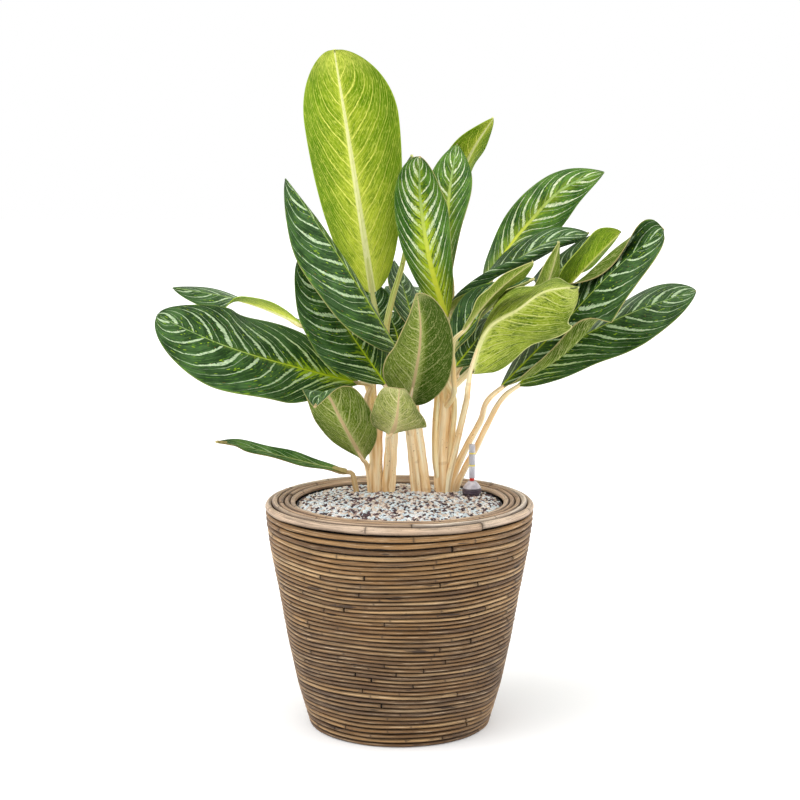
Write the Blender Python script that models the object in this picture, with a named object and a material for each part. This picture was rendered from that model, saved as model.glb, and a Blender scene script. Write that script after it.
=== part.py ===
"""Potted chinese evergreen: striped leaves, cream canes, rattan-wound pot, granulate and gauge."""
import math
import random

import bmesh
import bpy
import numpy as np

# All sizes in metres.  +Z is up, the viewer stands on the -Y side.
GAP = 0.0003                  # air left between touching pieces
SEED = 7

# Pot
WALL_OUTLINE = [(0.000, 0.1015), (0.045, 0.1145), (0.100, 0.1260), (0.150, 0.1345),
                (0.200, 0.1440), (0.225, 0.1475), (0.240, 0.1490)]   # height, outer radius
WALL_ROWS = 46                # rows of cane up the wall
WALL_GROOVE = 0.0018          # how deep the groove between two rows is
WALL_THICK = 0.008
WALL_SEGMENTS = 24
WALL_TOP = 0.240
LEDGE_INNER = 0.1155          # inner radius of the ledge that carries the rim coils
LEDGE_THICK = 0.008
COIL_CENTRES = [0.1187, 0.1251, 0.1317, 0.1384, 0.1452]
COIL_RADII = [0.0032, 0.0033, 0.0034, 0.0034, 0.0043]
COIL_HEIGHT = 0.0124          # top of the thickest coil above the wall top
RIM_SEGMENTS = 32
BASE_THICK = 0.012
LINER_THICK = 0.002
LINER_TOP = 0.2475
LINER_FOOT_RADIUS = 0.086
GRANULATE_EDGE = 0.2455       # height of the granulate at the liner
GRANULATE_MOUND = 0.0055      # how much higher it is in the middle
GRANULATE_ROUGH = 0.0011
GRANULATE_RINGS = 10
GRANULATE_SEGMENTS = 30
HOLE_DEPTH = 0.060
HOLE_SEGMENTS = 14
HOLE_CUT_TOP = 0.270          # the hole cutters end above the granulate

# Gauge
GAUGE_X, GAUGE_Y = 0.0820, 0.0370
GAUGE_SEGMENTS = 16
SHAFT_RADIUS = 0.0085
COLLAR_RADIUS = 0.0110
COLLAR_BOTTOM, COLLAR_TOP = 0.2516, 0.2570
CONE_TOP = 0.2655
CONE_TOP_RADIUS = 0.0046
TUBE_TOP = 0.3080
TUBE_RADIUS = 0.0036
TUBE_WALL = 0.0008
FLOAT_RADIUS = 0.0022
FLOAT_HEIGHT = 0.009

# Leaf blades
BLADE_STEPS = 9               # strips along a blade
BLADE_ACROSS = (-1.0, -0.5, 0.0, 0.5, 1.0)
BLADE_RIB = 0.0015            # thickness at the midrib
BLADE_EDGE = 0.0009           # thickness at the margin
BLADE_ROOT_HALF = 0.0028      # half width where the stalk meets the blade
BLADE_TIP_HALF = 0.0008

ROLL_SPAN = 0.20              # a rolled margin turns over this share of the half width

# Stalks
STALK_SIDES = 6
STALK_STEP = 0.025            # distance between two rings of a stalk
STALK_TIP_RADIUS = 0.0029
STALK_FROM_CROWN = 0.27       # a stalk that starts lower than this grows from the crown
STALK_SUNK = 0.006            # how deep it starts inside the crown
STALK_STRAIGHT = 0.016        # last bit of a stalk in line with its blade
STALK_SHORT = 0.007           # the same for the withered leaf
CROWN_TOP = 0.2440            # the buried crown stays under the granulate surface
CROWN_DEPTH = 0.050           # the crown's height
CROWN_SIDES = 12
CANE_SIDES = 8

# Each leaf: midrib points from root to tip, full width, way the upper side faces at root and tip,
# fold of the two halves in degrees (root, tip), outline (widest at, root power, tip power),
# cup in degrees, for some the roll of the two margins, where across and along the blade it lies, or how
# the width of each half varies from root to tip, and the stalk group, points and radius at the start.
LEAVES = {
    "tall": dict(
        path=[(-0.030, 0.032, 0.480), (-0.050, 0.018, 0.613), (-0.069, -0.024, 0.742)],
        width=0.124, face=(-0.12, 0.99, 0.11), face_tip=(0.0, 0.99, 0.13),
        fold_a=(19, 7), fold_b=(32, 33), shape=(0.67, 0.45, 0.57), cup=19,
        group="left", stalk=[(-0.0075, 0.036, 0.355), (-0.012, 0.046, 0.400)], root=0.0050),
    "left_upper": dict(
        path=[(-0.004, -0.004, 0.422), (-0.060, -0.045, 0.517), (-0.121, -0.041, 0.607)],
        width=0.107, face=(0.75, -0.41, 0.52), face_tip=(0.66, -0.55, 0.51),
        fold_a=(9, -21), fold_b=(-11, -22), shape=(0.45, 0.54, 0.84), cup=-24,
        group="left", stalk=[(-0.0085, 0.038, 0.340), (0.000, 0.022, 0.380)], root=0.0045),
    "left_mid": dict(
        path=[(-0.016, -0.012, 0.383), (-0.060, -0.003, 0.446), (-0.109, -0.013, 0.521)],
        width=0.093, face=(0.18, -0.80, 0.57), face_tip=(0.30, -0.72, 0.62),
        fold_a=(20, -6), fold_b=(8, -35), shape=(0.42, 0.72, 0.67), cup=-29,
        group="left", stalk=[(-0.0272, 0.044, 0.330), (-0.020, 0.022, 0.360)], root=0.0045),
    "left_large": dict(
        path=[(-0.047, 0.033, 0.378), (-0.111, 0.020, 0.396), (-0.190, -0.021, 0.426),
              (-0.262, -0.029, 0.460)],
        width=0.114, face=(-0.06, -0.76, 0.64), face_tip=(-0.31, -0.60, 0.73),
        fold_a=(11, -4), fold_b=(21, -1), shape=(0.53, 0.77, 0.50), cup=-16,
        group="left", stalk=[(-0.0272, 0.044, 0.330), (-0.036, 0.040, 0.362)], root=0.0045),
    "left_back": dict(
        path=[(-0.110, 0.051, 0.442), (-0.192, 0.134, 0.463), (-0.264, 0.124, 0.477)],
        width=0.074, face=(0.0, 0.55, 0.83), face_tip=(0.40, -0.72, 0.57),
        fold_a=(39, -10), fold_b=(19, -30), shape=(0.43, 0.73, 0.76), cup=-13,
        group="left", stalk=[(-0.0272, 0.045, 0.335), (-0.050, 0.062, 0.400)], root=0.0036),
    "low_left": dict(
        path=[(-0.041, 0.033, 0.292), (-0.062, -0.020, 0.342), (-0.078, -0.038, 0.376),
              (-0.089, -0.090, 0.369)],
        width=0.069, face=(0.0, 0.89, 0.46), face_tip=(0.07, 0.86, 0.50),
        fold_a=(4, 5), fold_b=(22, 26), shape=(0.45, 0.72, 0.80), cup=-7,
        group="left", stalk=[(-0.0330, 0.044, 0.250)], root=0.0034),
    "low_centre": dict(
        path=[(-0.010, -0.014, 0.329), (-0.003, -0.055, 0.353), (0.000, -0.074, 0.387)],
        width=0.057, face=(-0.15, 0.93, 0.33), face_tip=(0.00, 0.95, 0.30),
        fold_a=(4, 10), fold_b=(14, 14), shape=(0.50, 0.40, 0.16), cup=-2,
        halves=((0.9, 1.45, 1.05, 0.72, 0.35), (1, 1, 1, 0.95, 0.9)),
        group="left", stalk=[(-0.014, 0.040, 0.262), (-0.012, 0.026, 0.295)], root=0.0040),
    "centre": dict(
        path=[(0.011, -0.007, 0.361), (0.021, -0.056, 0.427), (0.017, -0.147, 0.494)],
        width=0.077, face=(0.17, 0.90, 0.40), face_tip=(-0.39, 0.88, 0.28),
        fold_a=(-16, 9), fold_b=(-1, -19), shape=(0.32, 0.54, 0.65), cup=-22,
        group="centre", stalk=[(0.0125, 0.039, 0.318), (0.010, 0.022, 0.340)], root=0.0045),
    "upright": dict(
        path=[(0.052, 0.025, 0.453), (0.034, 0.009, 0.515), (0.023, 0.007, 0.583),
              (0.022, -0.032, 0.630)],
        width=0.062, face=(-0.29, -0.95, 0.08), face_tip=(-0.21, -0.98, 0.0),
        fold_a=(0, 4), fold_b=(15, 16), shape=(0.61, 0.62, 0.56), cup=-11,
        group="right", stalk=[(0.0460, 0.046, 0.250), (0.0408, 0.041, 0.285), (0.0425, 0.038, 0.362),
                              (0.049, 0.036, 0.410)], root=0.0035),
    "upright_back": dict(
        path=[(0.058, 0.059, 0.483), (0.055, 0.073, 0.566), (0.066, 0.117, 0.642)],
        width=0.058, face=(-0.43, -0.89, 0.15), face_tip=(0.07, -0.98, 0.16),
        fold_a=(10, 1), fold_b=(62, 7), shape=(0.56, 0.77, 0.75), cup=-3,
        group="right", stalk=[(0.0540, 0.042, 0.372), (0.058, 0.060, 0.430)], root=0.0036),
    "right_tip_up": dict(
        path=[(0.061, 0.174, 0.539), (0.078, 0.140, 0.623), (0.107, 0.115, 0.672)],
        width=0.062, face=(-0.59, 0.78, 0.21), face_tip=(-0.54, 0.81, 0.21),
        fold_a=(44, 10), fold_b=(33, 7), shape=(0.45, 0.75, 0.78), cup=0,
        group="right", stalk=[(0.0540, 0.042, 0.372), (0.062, 0.092, 0.420), (0.056, 0.148, 0.480)],
        root=0.0036),
    "right_upper": dict(
        path=[(0.101, 0.096, 0.486), (0.150, 0.154, 0.548), (0.194, 0.146, 0.593),
              (0.238, 0.143, 0.610)],
        width=0.072, face=(-0.79, -0.55, 0.27), face_tip=(-0.30, -0.90, 0.31),
        fold_a=(15, -13), fold_b=(39, -22), shape=(0.52, 0.57, 0.80), cup=-14,
        group="right", stalk=[(0.0540, 0.042, 0.372), (0.076, 0.088, 0.425)], root=0.0036),
    "right_long": dict(
        path=[(0.055, 0.042, 0.458), (0.118, 0.055, 0.505), (0.182, 0.073, 0.538),
              (0.215, 0.088, 0.542)],
        width=0.070, face=(-0.45, 0.55, 0.70), face_tip=(-0.30, -0.70, 0.62),
        fold_a=(20, 10), fold_b=(20, 10), shape=(0.32, 0.60, 0.70), cup=-6,
        roll=(0, -140), roll_from=(0.5, 0.58),
        group="right", stalk=[(0.0535, 0.041, 0.370), (0.046, 0.034, 0.415)], root=0.0036),
    "right_small": dict(
        path=[(0.068, -0.050, 0.448), (0.098, -0.064, 0.486), (0.138, -0.101, 0.523)],
        width=0.050, face=(-0.54, 0.41, 0.74), face_tip=(-0.39, 0.61, 0.69),
        fold_a=(24, 5), fold_b=(-8, 3), shape=(0.47, 0.75, 0.72), cup=-13,
        group="right", stalk=[(0.0520, 0.041, 0.350), (0.060, 0.000, 0.372), (0.058, -0.038, 0.405)],
        root=0.0034),
    "right_fold": dict(
        path=[(0.057, -0.007, 0.4165), (0.094, 0.006, 0.4605), (0.146, -0.018, 0.4985)],
        width=0.065, face=(-0.25, -0.34, 0.91), face_tip=(-0.48, 0.0, 0.88),
        fold_a=(59, 20), fold_b=(18, 18), shape=(0.46, 0.90, 0.80), cup=3,
        group="right", stalk=[(0.0520, 0.041, 0.350), (0.051, 0.022, 0.380)], root=0.0036),
    "right_curl": dict(
        path=[(0.062, 0.018, 0.398), (0.081, 0.028, 0.420), (0.097, -0.001, 0.449)],
        width=0.057, face=(-0.31, -0.68, 0.66), face_tip=(-0.47, -0.71, 0.53),
        fold_a=(-8, -4), fold_b=(8, 15), shape=(0.44, 0.68, 0.77), cup=-15,
        group="right", stalk=[(0.0520, 0.048, 0.255), (0.0592, 0.040, 0.315), (0.0610, 0.030, 0.360)],
        root=0.0038),
    "right_point": dict(
        path=[(0.140, 0.031, 0.447), (0.160, 0.004, 0.490), (0.174, 0.000, 0.538)],
        width=0.042, face=(-0.45, 0.83, 0.34), face_tip=(-0.54, 0.76, 0.35),
        fold_a=(18, 24), fold_b=(-3, -9), shape=(0.43, 0.75, 0.81), cup=-12,
        group="right", stalk=[(0.0535, 0.041, 0.365), (0.090, 0.050, 0.400)], root=0.0032),
    "right_large": dict(
        path=[(0.113, 0.004, 0.379), (0.174, 0.021, 0.438), (0.243, 0.001, 0.514),
              (0.285, -0.015, 0.551)],
        width=0.118, face=(-0.45, -0.42, 0.79), face_tip=(-0.22, -0.50, 0.84),
        fold_a=(-15, 5), fold_b=(-11, 10), shape=(0.48, 0.70, 0.35), cup=-14,
        roll=(195, 165), roll_from=(0.46, 0.62),
        roll_along=((0.42, 1.0), (0.0, 0.58)),
        group="right", stalk=[(0.0560, 0.046, 0.252), (0.0650, 0.050, 0.278), (0.0760, 0.051, 0.302),
                              (0.0900, 0.044, 0.330)], root=0.0046),
    "right_far": dict(
        path=[(0.133, 0.047, 0.374), (0.189, 0.066, 0.415), (0.263, 0.067, 0.453),
              (0.334, 0.058, 0.479)],
        width=0.095, face=(-0.13, -0.42, 0.90), face_tip=(-0.20, -0.66, 0.72),
        fold_a=(-49, 7), fold_b=(-14, 14), shape=(0.65, 0.57, 0.67), cup=-24,
        group="right", stalk=[(0.0645, 0.056, 0.252), (0.0730, 0.061, 0.272), (0.0870, 0.062, 0.298),
                              (0.0990, 0.060, 0.324)], root=0.0042),
    "lime": dict(
        path=[(0.077, -0.052, 0.4005), (0.096, -0.068, 0.4525), (0.123, -0.088, 0.4715),
              (0.150, -0.108, 0.4925), (0.183, -0.122, 0.4985)],
        width=0.127, face=(0.16, 0.63, 0.76), face_tip=(0.16, 0.95, 0.25),
        fold_a=(16, 5), fold_b=(90, 105), shape=(0.51, 0.30, 0.49), cup=11, wave=0.003,
        group="right", stalk=[(0.0540, 0.044, 0.252), (0.0635, 0.036, 0.305), (0.0700, 0.016, 0.340),
                              (0.0740, -0.014, 0.368)], root=0.0042),
    "lime_spot": dict(
        path=[(0.159, 0.062, 0.451), (0.205, 0.057, 0.503), (0.252, 0.090, 0.544)],
        width=0.076, face=(-0.62, 0.17, 0.76), face_tip=(-0.73, 0.46, 0.50),
        fold_a=(21, 4), fold_b=(7, 33), shape=(0.49, 0.74, 0.75), cup=-5,
        group="right", stalk=[(0.0535, 0.041, 0.365), (0.100, 0.072, 0.402)], root=0.0034),
    "right_dark": dict(
        path=[(0.164, 0.087, 0.477), (0.199, 0.147, 0.506), (0.230, 0.154, 0.537)],
        width=0.047, face=(-0.23, -0.78, 0.59), face_tip=(-0.70, -0.62, 0.34),
        fold_a=(18, -5), fold_b=(29, 29), shape=(0.34, 0.72, 0.64), cup=-4,
        group="right", stalk=[(0.0540, 0.042, 0.372), (0.105, 0.074, 0.435)], root=0.0032),
    "gap_upper": dict(
        path=[(0.020, 0.074, 0.4272), (0.006, 0.091, 0.4722), (-0.006, 0.111, 0.5095)],
        width=0.068, face=(0.52, -0.79, 0.33), face_tip=(0.57, -0.76, 0.32),
        fold_a=(36, 28), fold_b=(-12, -23), shape=(0.44, 0.76, 0.79), cup=-12,
        group="centre", stalk=[(0.0170, 0.041, 0.345), (0.022, 0.052, 0.385)], root=0.0036),
    "gap_left": dict(
        path=[(-0.020, 0.080, 0.432), (-0.030, 0.090, 0.460), (-0.042, 0.100, 0.490)],
        width=0.044, face=(0.0, -0.96, 0.29), face_tip=(0.0, -0.96, 0.29),
        fold_a=(12, 8), fold_b=(12, 8), shape=(0.45, 0.75, 0.80), cup=-10,
        group="left", stalk=[(-0.0080, 0.037, 0.348), (-0.016, 0.062, 0.390)], root=0.0034),
    "gap_low": dict(
        path=[(0.001, 0.100, 0.405), (-0.004, 0.110, 0.427), (-0.013, 0.120, 0.449)],
        width=0.060, face=(0.0, -0.96, 0.29), face_tip=(0.0, -0.96, 0.29),
        fold_a=(12, 8), fold_b=(12, 8), shape=(0.45, 0.75, 0.80), cup=-10,
        group="centre", stalk=[(0.0120, 0.039, 0.325), (0.004, 0.072, 0.358)], root=0.0034),
    "withered": dict(
        path=[(-0.061, 0.043, 0.275), (-0.124, 0.028, 0.293), (-0.181, 0.022, 0.309),
              (-0.202, -0.010, 0.318)],
        width=0.022, face=(0.11, -0.48, 0.87), face_tip=(0.18, -0.46, 0.87),
        fold_a=(18, 15), fold_b=(17, 16), shape=(0.48, 0.53, 0.70), cup=-5,
        group="withered", stalk=[(-0.0480, 0.046, 0.244), (-0.0508, 0.0455, 0.260)], root=0.0036),
    "back_left": dict(
        path=[(-0.038, 0.100, 0.405), (-0.073, 0.170, 0.440), (-0.103, 0.255, 0.448)],
        width=0.088, face=(-0.05, -0.45, 0.90), face_tip=(-0.20, 0.25, 0.95),
        fold_a=(16, 8), fold_b=(16, 8), shape=(0.45, 0.70, 0.80), cup=-12,
        group="left", stalk=[(-0.0272, 0.045, 0.335), (-0.030, 0.068, 0.368)], root=0.0038),
    "back_mid": dict(
        path=[(0.022, 0.135, 0.425), (0.024, 0.200, 0.462), (0.032, 0.285, 0.462)],
        width=0.086, face=(0.0, -0.50, 0.87), face_tip=(0.05, 0.25, 0.96),
        fold_a=(16, 8), fold_b=(16, 8), shape=(0.45, 0.70, 0.80), cup=-12,
        group="centre", stalk=[(0.0170, 0.041, 0.340), (0.020, 0.088, 0.385)], root=0.0038),
    "back_right": dict(
        path=[(0.075, 0.105, 0.408), (0.108, 0.175, 0.438), (0.135, 0.255, 0.435)],
        width=0.084, face=(0.05, -0.45, 0.90), face_tip=(0.20, 0.25, 0.95),
        fold_a=(16, 8), fold_b=(16, 8), shape=(0.45, 0.70, 0.80), cup=-12,
        group="right", stalk=[(0.0520, 0.041, 0.345), (0.064, 0.070, 0.375)], root=0.0038),
    "back_low_left": dict(
        path=[(-0.010, 0.125, 0.368), (-0.030, 0.195, 0.388), (-0.045, 0.285, 0.372)],
        width=0.078, face=(-0.05, -0.30, 0.95), face_tip=(-0.10, 0.35, 0.93),
        fold_a=(16, 8), fold_b=(16, 8), shape=(0.45, 0.70, 0.80), cup=-12,
        group="centre", stalk=[(0.0120, 0.040, 0.322), (0.004, 0.080, 0.345)], root=0.0036),
    "back_low_right": dict(
        path=[(0.055, 0.125, 0.368), (0.074, 0.195, 0.392), (0.088, 0.280, 0.380)],
        width=0.076, face=(0.05, -0.30, 0.95), face_tip=(0.10, 0.35, 0.93),
        fold_a=(16, 8), fold_b=(16, 8), shape=(0.45, 0.70, 0.80), cup=-12,
        group="right", stalk=[(0.0515, 0.041, 0.335), (0.053, 0.078, 0.350)], root=0.0036),
    "back_up": dict(
        path=[(0.0060, 0.068, 0.527), (0.0120, 0.082, 0.580), (0.0140, 0.105, 0.630)],
        width=0.036, face=(-0.20, -0.92, 0.35), face_tip=(-0.10, -0.85, 0.50),
        fold_a=(14, 8), fold_b=(14, 8), shape=(0.48, 0.70, 0.80), cup=-12,
        group="left", stalk=[(-0.0100, 0.037, 0.345), (-0.0160, 0.042, 0.400), (-0.0135, 0.045, 0.447),
                             (-0.0084, 0.050, 0.470)], root=0.0046),
}
# Thick canes of each group: points from the crown up, radius at the bottom, radius at the top
CANES = {
    "left": [([(-0.0265, 0.047, 0.236), (-0.0268, 0.047, 0.290), (-0.0268, 0.044, 0.345)], 0.0070, 0.0072),
             ([(-0.0140, 0.046, 0.236), (-0.0095, 0.042, 0.300), (-0.0055, 0.036, 0.362)], 0.0076, 0.0062)],
    "centre": [([(0.0210, 0.044, 0.236), (0.0160, 0.042, 0.290), (0.0110, 0.038, 0.335)], 0.0060, 0.0052),
               ([(0.0318, 0.046, 0.236), (0.0255, 0.044, 0.290), (0.0165, 0.041, 0.352)], 0.0060, 0.0050)],
    "right": [([(0.0475, 0.047, 0.236), (0.0480, 0.044, 0.305), (0.0515, 0.041, 0.345),
                (0.0545, 0.042, 0.378)], 0.0074, 0.0062)],
    "withered": [],
}
# Buried crown of each group: centre x, centre y, radius
CROWNS = {"left": (-0.0215, 0.046, 0.0160), "centre": (0.0260, 0.044, 0.0125),
          "right": (0.0562, 0.050, 0.0172), "withered": (-0.0490, 0.046, 0.0050)}
# Material colour, roughness and metallic
COLOURS = {
    "rattan": ((0.235, 0.135, 0.062), 0.50, 0.0),
    "rim_cane": ((0.300, 0.215, 0.135), 0.52, 0.0),
    "board": ((0.120, 0.080, 0.050), 0.70, 0.0),
    "liner": ((0.012, 0.012, 0.013), 0.45, 0.0),
    "granulate": ((0.430, 0.385, 0.360), 0.85, 0.0),
    "leaf_dark": ((0.028, 0.110, 0.042), 0.38, 0.0),
    "leaf_lime": ((0.260, 0.420, 0.050), 0.45, 0.0),
    "leaf_olive": ((0.130, 0.220, 0.050), 0.45, 0.0),
    "leaf_dry": ((0.190, 0.220, 0.090), 0.60, 0.0),
    "cane": ((0.720, 0.560, 0.330), 0.55, 0.0),
    "gauge_collar": ((0.060, 0.045, 0.062), 0.40, 0.0),
    "gauge_cone": ((0.400, 0.380, 0.400), 0.30, 0.0),
    "gauge_float": ((0.550, 0.030, 0.020), 0.35, 0.0),
    "gauge_tube": ((0.800, 0.810, 0.820), 0.15, 0.0),
}
LIME_LEAVES = ("tall", "lime", "lime_spot", "right_point")
OLIVE_LEAVES = ("low_left", "low_centre", "centre", "right_small", "right_tip_up")


def material(kind):
    """One Principled material per colour name."""
    colour, roughness, metallic = COLOURS[kind]
    found = bpy.data.materials.get(kind)
    if found:
        return found
    made = bpy.data.materials.new(kind)
    made.use_nodes = True
    shader = made.node_tree.nodes["Principled BSDF"]
    shader.inputs["Base Color"].default_value = (*colour, 1.0)
    shader.inputs["Roughness"].default_value = roughness
    shader.inputs["Metallic"].default_value = metallic
    made.diffuse_color = (*colour, 1.0)
    return made


def add_object(name, verts, faces, kind):
    """A named mesh object with its material, normals turned outward."""
    mesh = bpy.data.meshes.new(name)
    mesh.from_pydata([tuple(map(float, v)) for v in verts], [], faces)
    bm = bmesh.new()
    bm.from_mesh(mesh)
    bmesh.ops.recalc_face_normals(bm, faces=bm.faces[:])
    bm.to_mesh(mesh)
    bm.free()
    mesh.materials.append(material(kind))
    thing = bpy.data.objects.new(name, mesh)
    bpy.context.scene.collection.objects.link(thing)
    return thing


def lathe(name, profile, segments, kind, centre=(0.0, 0.0), turn=0.0):
    """A closed ring profile (radius, height) turned about a vertical axis.

    A point with radius 0 becomes a single vertex on the axis.
    """
    verts, rows = [], []
    for radius, height in profile:
        if radius == 0:
            rows.append([len(verts)] * segments)
            verts.append((centre[0], centre[1], height))
            continue
        rows.append(list(range(len(verts), len(verts) + segments)))
        for k in range(segments):
            angle = turn + 2 * math.pi * k / segments
            verts.append((centre[0] + radius * math.cos(angle), centre[1] + radius * math.sin(angle), height))
    faces = []
    for a, b in zip(rows, rows[1:] + rows[:1]):
        if a[0] == a[1] and b[0] == b[1]:
            continue
        for k in range(segments):
            j = (k + 1) % segments
            quad = [a[k], a[j], b[j], b[k]]
            faces.append([v for i, v in enumerate(quad) if v != quad[i - 1]])
    return add_object(name, verts, faces, kind)


def wall_radius(height):
    """Outer radius of the rattan wall at a height."""
    heights, radii = zip(*WALL_OUTLINE)
    return float(np.interp(height, heights, radii))


def rattan_wall():
    """Tapered shell with a ridge for every row of cane and a ledge for the rim."""
    pitch = WALL_TOP / WALL_ROWS
    profile = []
    for row in range(WALL_ROWS):
        low, middle = row * pitch, (row + 0.5) * pitch
        profile.append((wall_radius(low) - WALL_GROOVE, low))
        profile.append((wall_radius(middle), middle))
    profile.append((wall_radius(WALL_TOP) - WALL_GROOVE, WALL_TOP))
    profile.append((LEDGE_INNER, WALL_TOP))
    profile.append((LEDGE_INNER, WALL_TOP - LEDGE_THICK))
    under = WALL_TOP - LEDGE_THICK
    profile.append((wall_radius(under) - WALL_THICK, under))
    for height in (0.150, 0.045, 0.0):
        profile.append((wall_radius(height) - WALL_THICK, height))
    return lathe("rattan_wall", profile, WALL_SEGMENTS, "rattan")


def rim_coils():
    """Five cane coils side by side, one body with a flat underside."""
    low = WALL_TOP + GAP
    profile = [(COIL_CENTRES[0] - COIL_RADII[0], low)]
    for centre, radius in zip(COIL_CENTRES, COIL_RADII):
        crest = low + COIL_HEIGHT - (max(COIL_RADII) - radius)
        valley = crest - radius * 0.9
        if centre == COIL_CENTRES[0]:
            profile.append((centre - radius, valley))
        profile.append((centre - radius * 0.55, crest - radius * 0.20))
        profile.append((centre + radius * 0.55, crest - radius * 0.20))
        profile.append((centre + radius, valley))
    profile.append((COIL_CENTRES[-1] + COIL_RADII[-1], low + 0.002))
    profile.append((COIL_CENTRES[-1] + COIL_RADII[-1] * 0.6, low))
    return lathe("rim_coils", profile, RIM_SEGMENTS, "rim_cane")


def base_board():
    """Flat round board that closes the bottom and carries the liner."""
    low = (wall_radius(0.0) - WALL_THICK) * math.cos(math.pi / WALL_SEGMENTS) - GAP
    profile = [(0, 0.0), (low, 0.0), (low, BASE_THICK), (0, BASE_THICK)]
    return lathe("base_board", profile, WALL_SEGMENTS, "board")


def liner_radius(height):
    """Outer radius of the liner at a height."""
    low, high = BASE_THICK + GAP, LINER_TOP
    share = (height - low) / (high - low)
    top = LEDGE_INNER * math.cos(math.pi / WALL_SEGMENTS) - GAP
    return LINER_FOOT_RADIUS + (top - LINER_FOOT_RADIUS) * share


def inner_liner():
    """Black plastic cup, open at the top."""
    low, high = BASE_THICK + GAP, LINER_TOP
    floor = low + LINER_THICK
    profile = [(0, low), (liner_radius(low), low), (liner_radius(high), high),
               (liner_radius(high) - LINER_THICK, high), (liner_radius(floor) - LINER_THICK, floor), (0, floor)]
    return lathe("inner_liner", profile, WALL_SEGMENTS, "liner")


def granulate():
    """Grains that fill the liner, rough and slightly mounded, with plain holes for what stands in them."""
    rng = random.Random(SEED)
    shrink = math.cos(math.pi / WALL_SEGMENTS)
    floor = BASE_THICK + LINER_THICK + 2 * GAP
    low = (liner_radius(floor) - LINER_THICK) * shrink - GAP
    edge = (liner_radius(GRANULATE_EDGE) - LINER_THICK) * shrink - GAP
    verts, rows = [(0, 0, floor)], [[0] * GRANULATE_SEGMENTS]

    def ring(radius, height, rough):
        rows.append(list(range(len(verts), len(verts) + GRANULATE_SEGMENTS)))
        for k in range(GRANULATE_SEGMENTS):
            angle = 2 * math.pi * (k + 0.5 * (len(rows) % 2)) / GRANULATE_SEGMENTS
            lift = rng.uniform(-1, 1) * rough
            verts.append((radius * math.cos(angle), radius * math.sin(angle), height + lift))

    ring(low, floor, 0)
    for step in range(GRANULATE_RINGS):
        share = 1 - step / GRANULATE_RINGS
        ring(edge * share, GRANULATE_EDGE + GRANULATE_MOUND * (1 - share ** 2), GRANULATE_ROUGH if step else 0)
    rows.append([len(verts)] * GRANULATE_SEGMENTS)
    verts.append((0, 0, GRANULATE_EDGE + GRANULATE_MOUND))
    faces = []
    for a, b in zip(rows, rows[1:]):
        for k in range(GRANULATE_SEGMENTS):
            j = (k + 1) % GRANULATE_SEGMENTS
            for face in ([a[k], a[j], b[j]], [a[k], b[j], b[k]]):
                if len(set(face)) == 3:
                    faces.append(face)
    body = add_object("granulate", verts, faces, "granulate")
    holes = bpy.data.collections.new("holes")
    bpy.context.scene.collection.children.link(holes)
    spread = 1 / math.cos(math.pi / HOLE_SEGMENTS)
    places = [(x, y, r) for x, y, r in CROWNS.values()] + [(GAUGE_X, GAUGE_Y, SHAFT_RADIUS)]
    bottom = CROWN_TOP - HOLE_DEPTH
    for number, (x, y, radius) in enumerate(places):
        wide = (radius + GAP) * spread
        cutter = lathe(f"hole_{number}", [(0, bottom), (wide, bottom), (wide, HOLE_CUT_TOP), (0, HOLE_CUT_TOP)],
                       HOLE_SEGMENTS, "granulate", (x, y), 0.1)
        move_to(cutter, holes)
        cutter.hide_render = True
        cutter.display_type = "WIRE"
    combine(body, holes, "DIFFERENCE")
    return body


def move_to(thing, collection):
    """Take an object out of every collection and put it in one."""
    for old in list(thing.users_collection):
        old.objects.unlink(thing)
    collection.objects.link(thing)


def combine(body, collection, operation):
    """Apply one Boolean of a collection to a body, then remove what was in the collection."""
    cut = body.modifiers.new("combine", "BOOLEAN")
    cut.operation = operation
    cut.operand_type = "COLLECTION"
    cut.collection = collection
    cut.solver = "EXACT"
    bpy.context.view_layer.objects.active = body
    for other in bpy.context.selected_objects:
        other.select_set(False)
    body.select_set(True)
    bpy.ops.object.modifier_apply(modifier=cut.name)
    for thing in list(collection.objects):
        bpy.data.objects.remove(thing)
    bpy.data.collections.remove(collection)


def unit(vectors):
    """Vectors scaled to length 1 along the last axis."""
    vectors = np.asarray(vectors, float)
    return vectors / np.maximum(np.linalg.norm(vectors, axis=-1, keepdims=True), 1e-12)


def smooth_path(points, shares):
    """Points on a smooth curve through the given points, at shares of its length."""
    points = np.asarray(points, float)
    knots = np.r_[0, np.cumsum(np.linalg.norm(np.diff(points, axis=0), axis=1))]
    knots /= knots[-1]
    spans = np.diff(knots)
    slopes = np.diff(points, axis=0) / spans[:, None]
    if len(points) == 2:
        return points[0] + np.asarray(shares)[:, None] * (points[1] - points[0])
    tangents = np.zeros_like(points)
    mixed = slopes[:-1] * spans[1:, None] + slopes[1:] * spans[:-1, None]
    tangents[1:-1] = mixed / (spans[:-1] + spans[1:])[:, None]
    tangents[0] = 1.5 * slopes[0] - 0.5 * tangents[1]
    tangents[-1] = 1.5 * slopes[-1] - 0.5 * tangents[-2]
    index = np.clip(np.searchsorted(knots, shares, side="right") - 1, 0, len(points) - 2)
    u = ((shares - knots[index]) / spans[index])[:, None]
    span = spans[index][:, None]
    return ((2 * u**3 - 3 * u**2 + 1) * points[index] + (u**3 - 2 * u**2 + u) * span * tangents[index]
            + (3 * u**2 - 2 * u**3) * points[index + 1] + (u**3 - u**2) * span * tangents[index + 1])


def half_width(shares, shape):
    """Half width of a blade along its length, 1 at its widest."""
    widest, root_power, tip_power = shape
    root = np.sin(math.pi / 2 * np.clip(shares / widest, 0, 1)) ** root_power
    tip = np.cos(math.pi / 2 * np.clip((shares - widest) / (1 - widest), 0, 1)) ** tip_power
    return np.where(shares < widest, root, tip)


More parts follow.
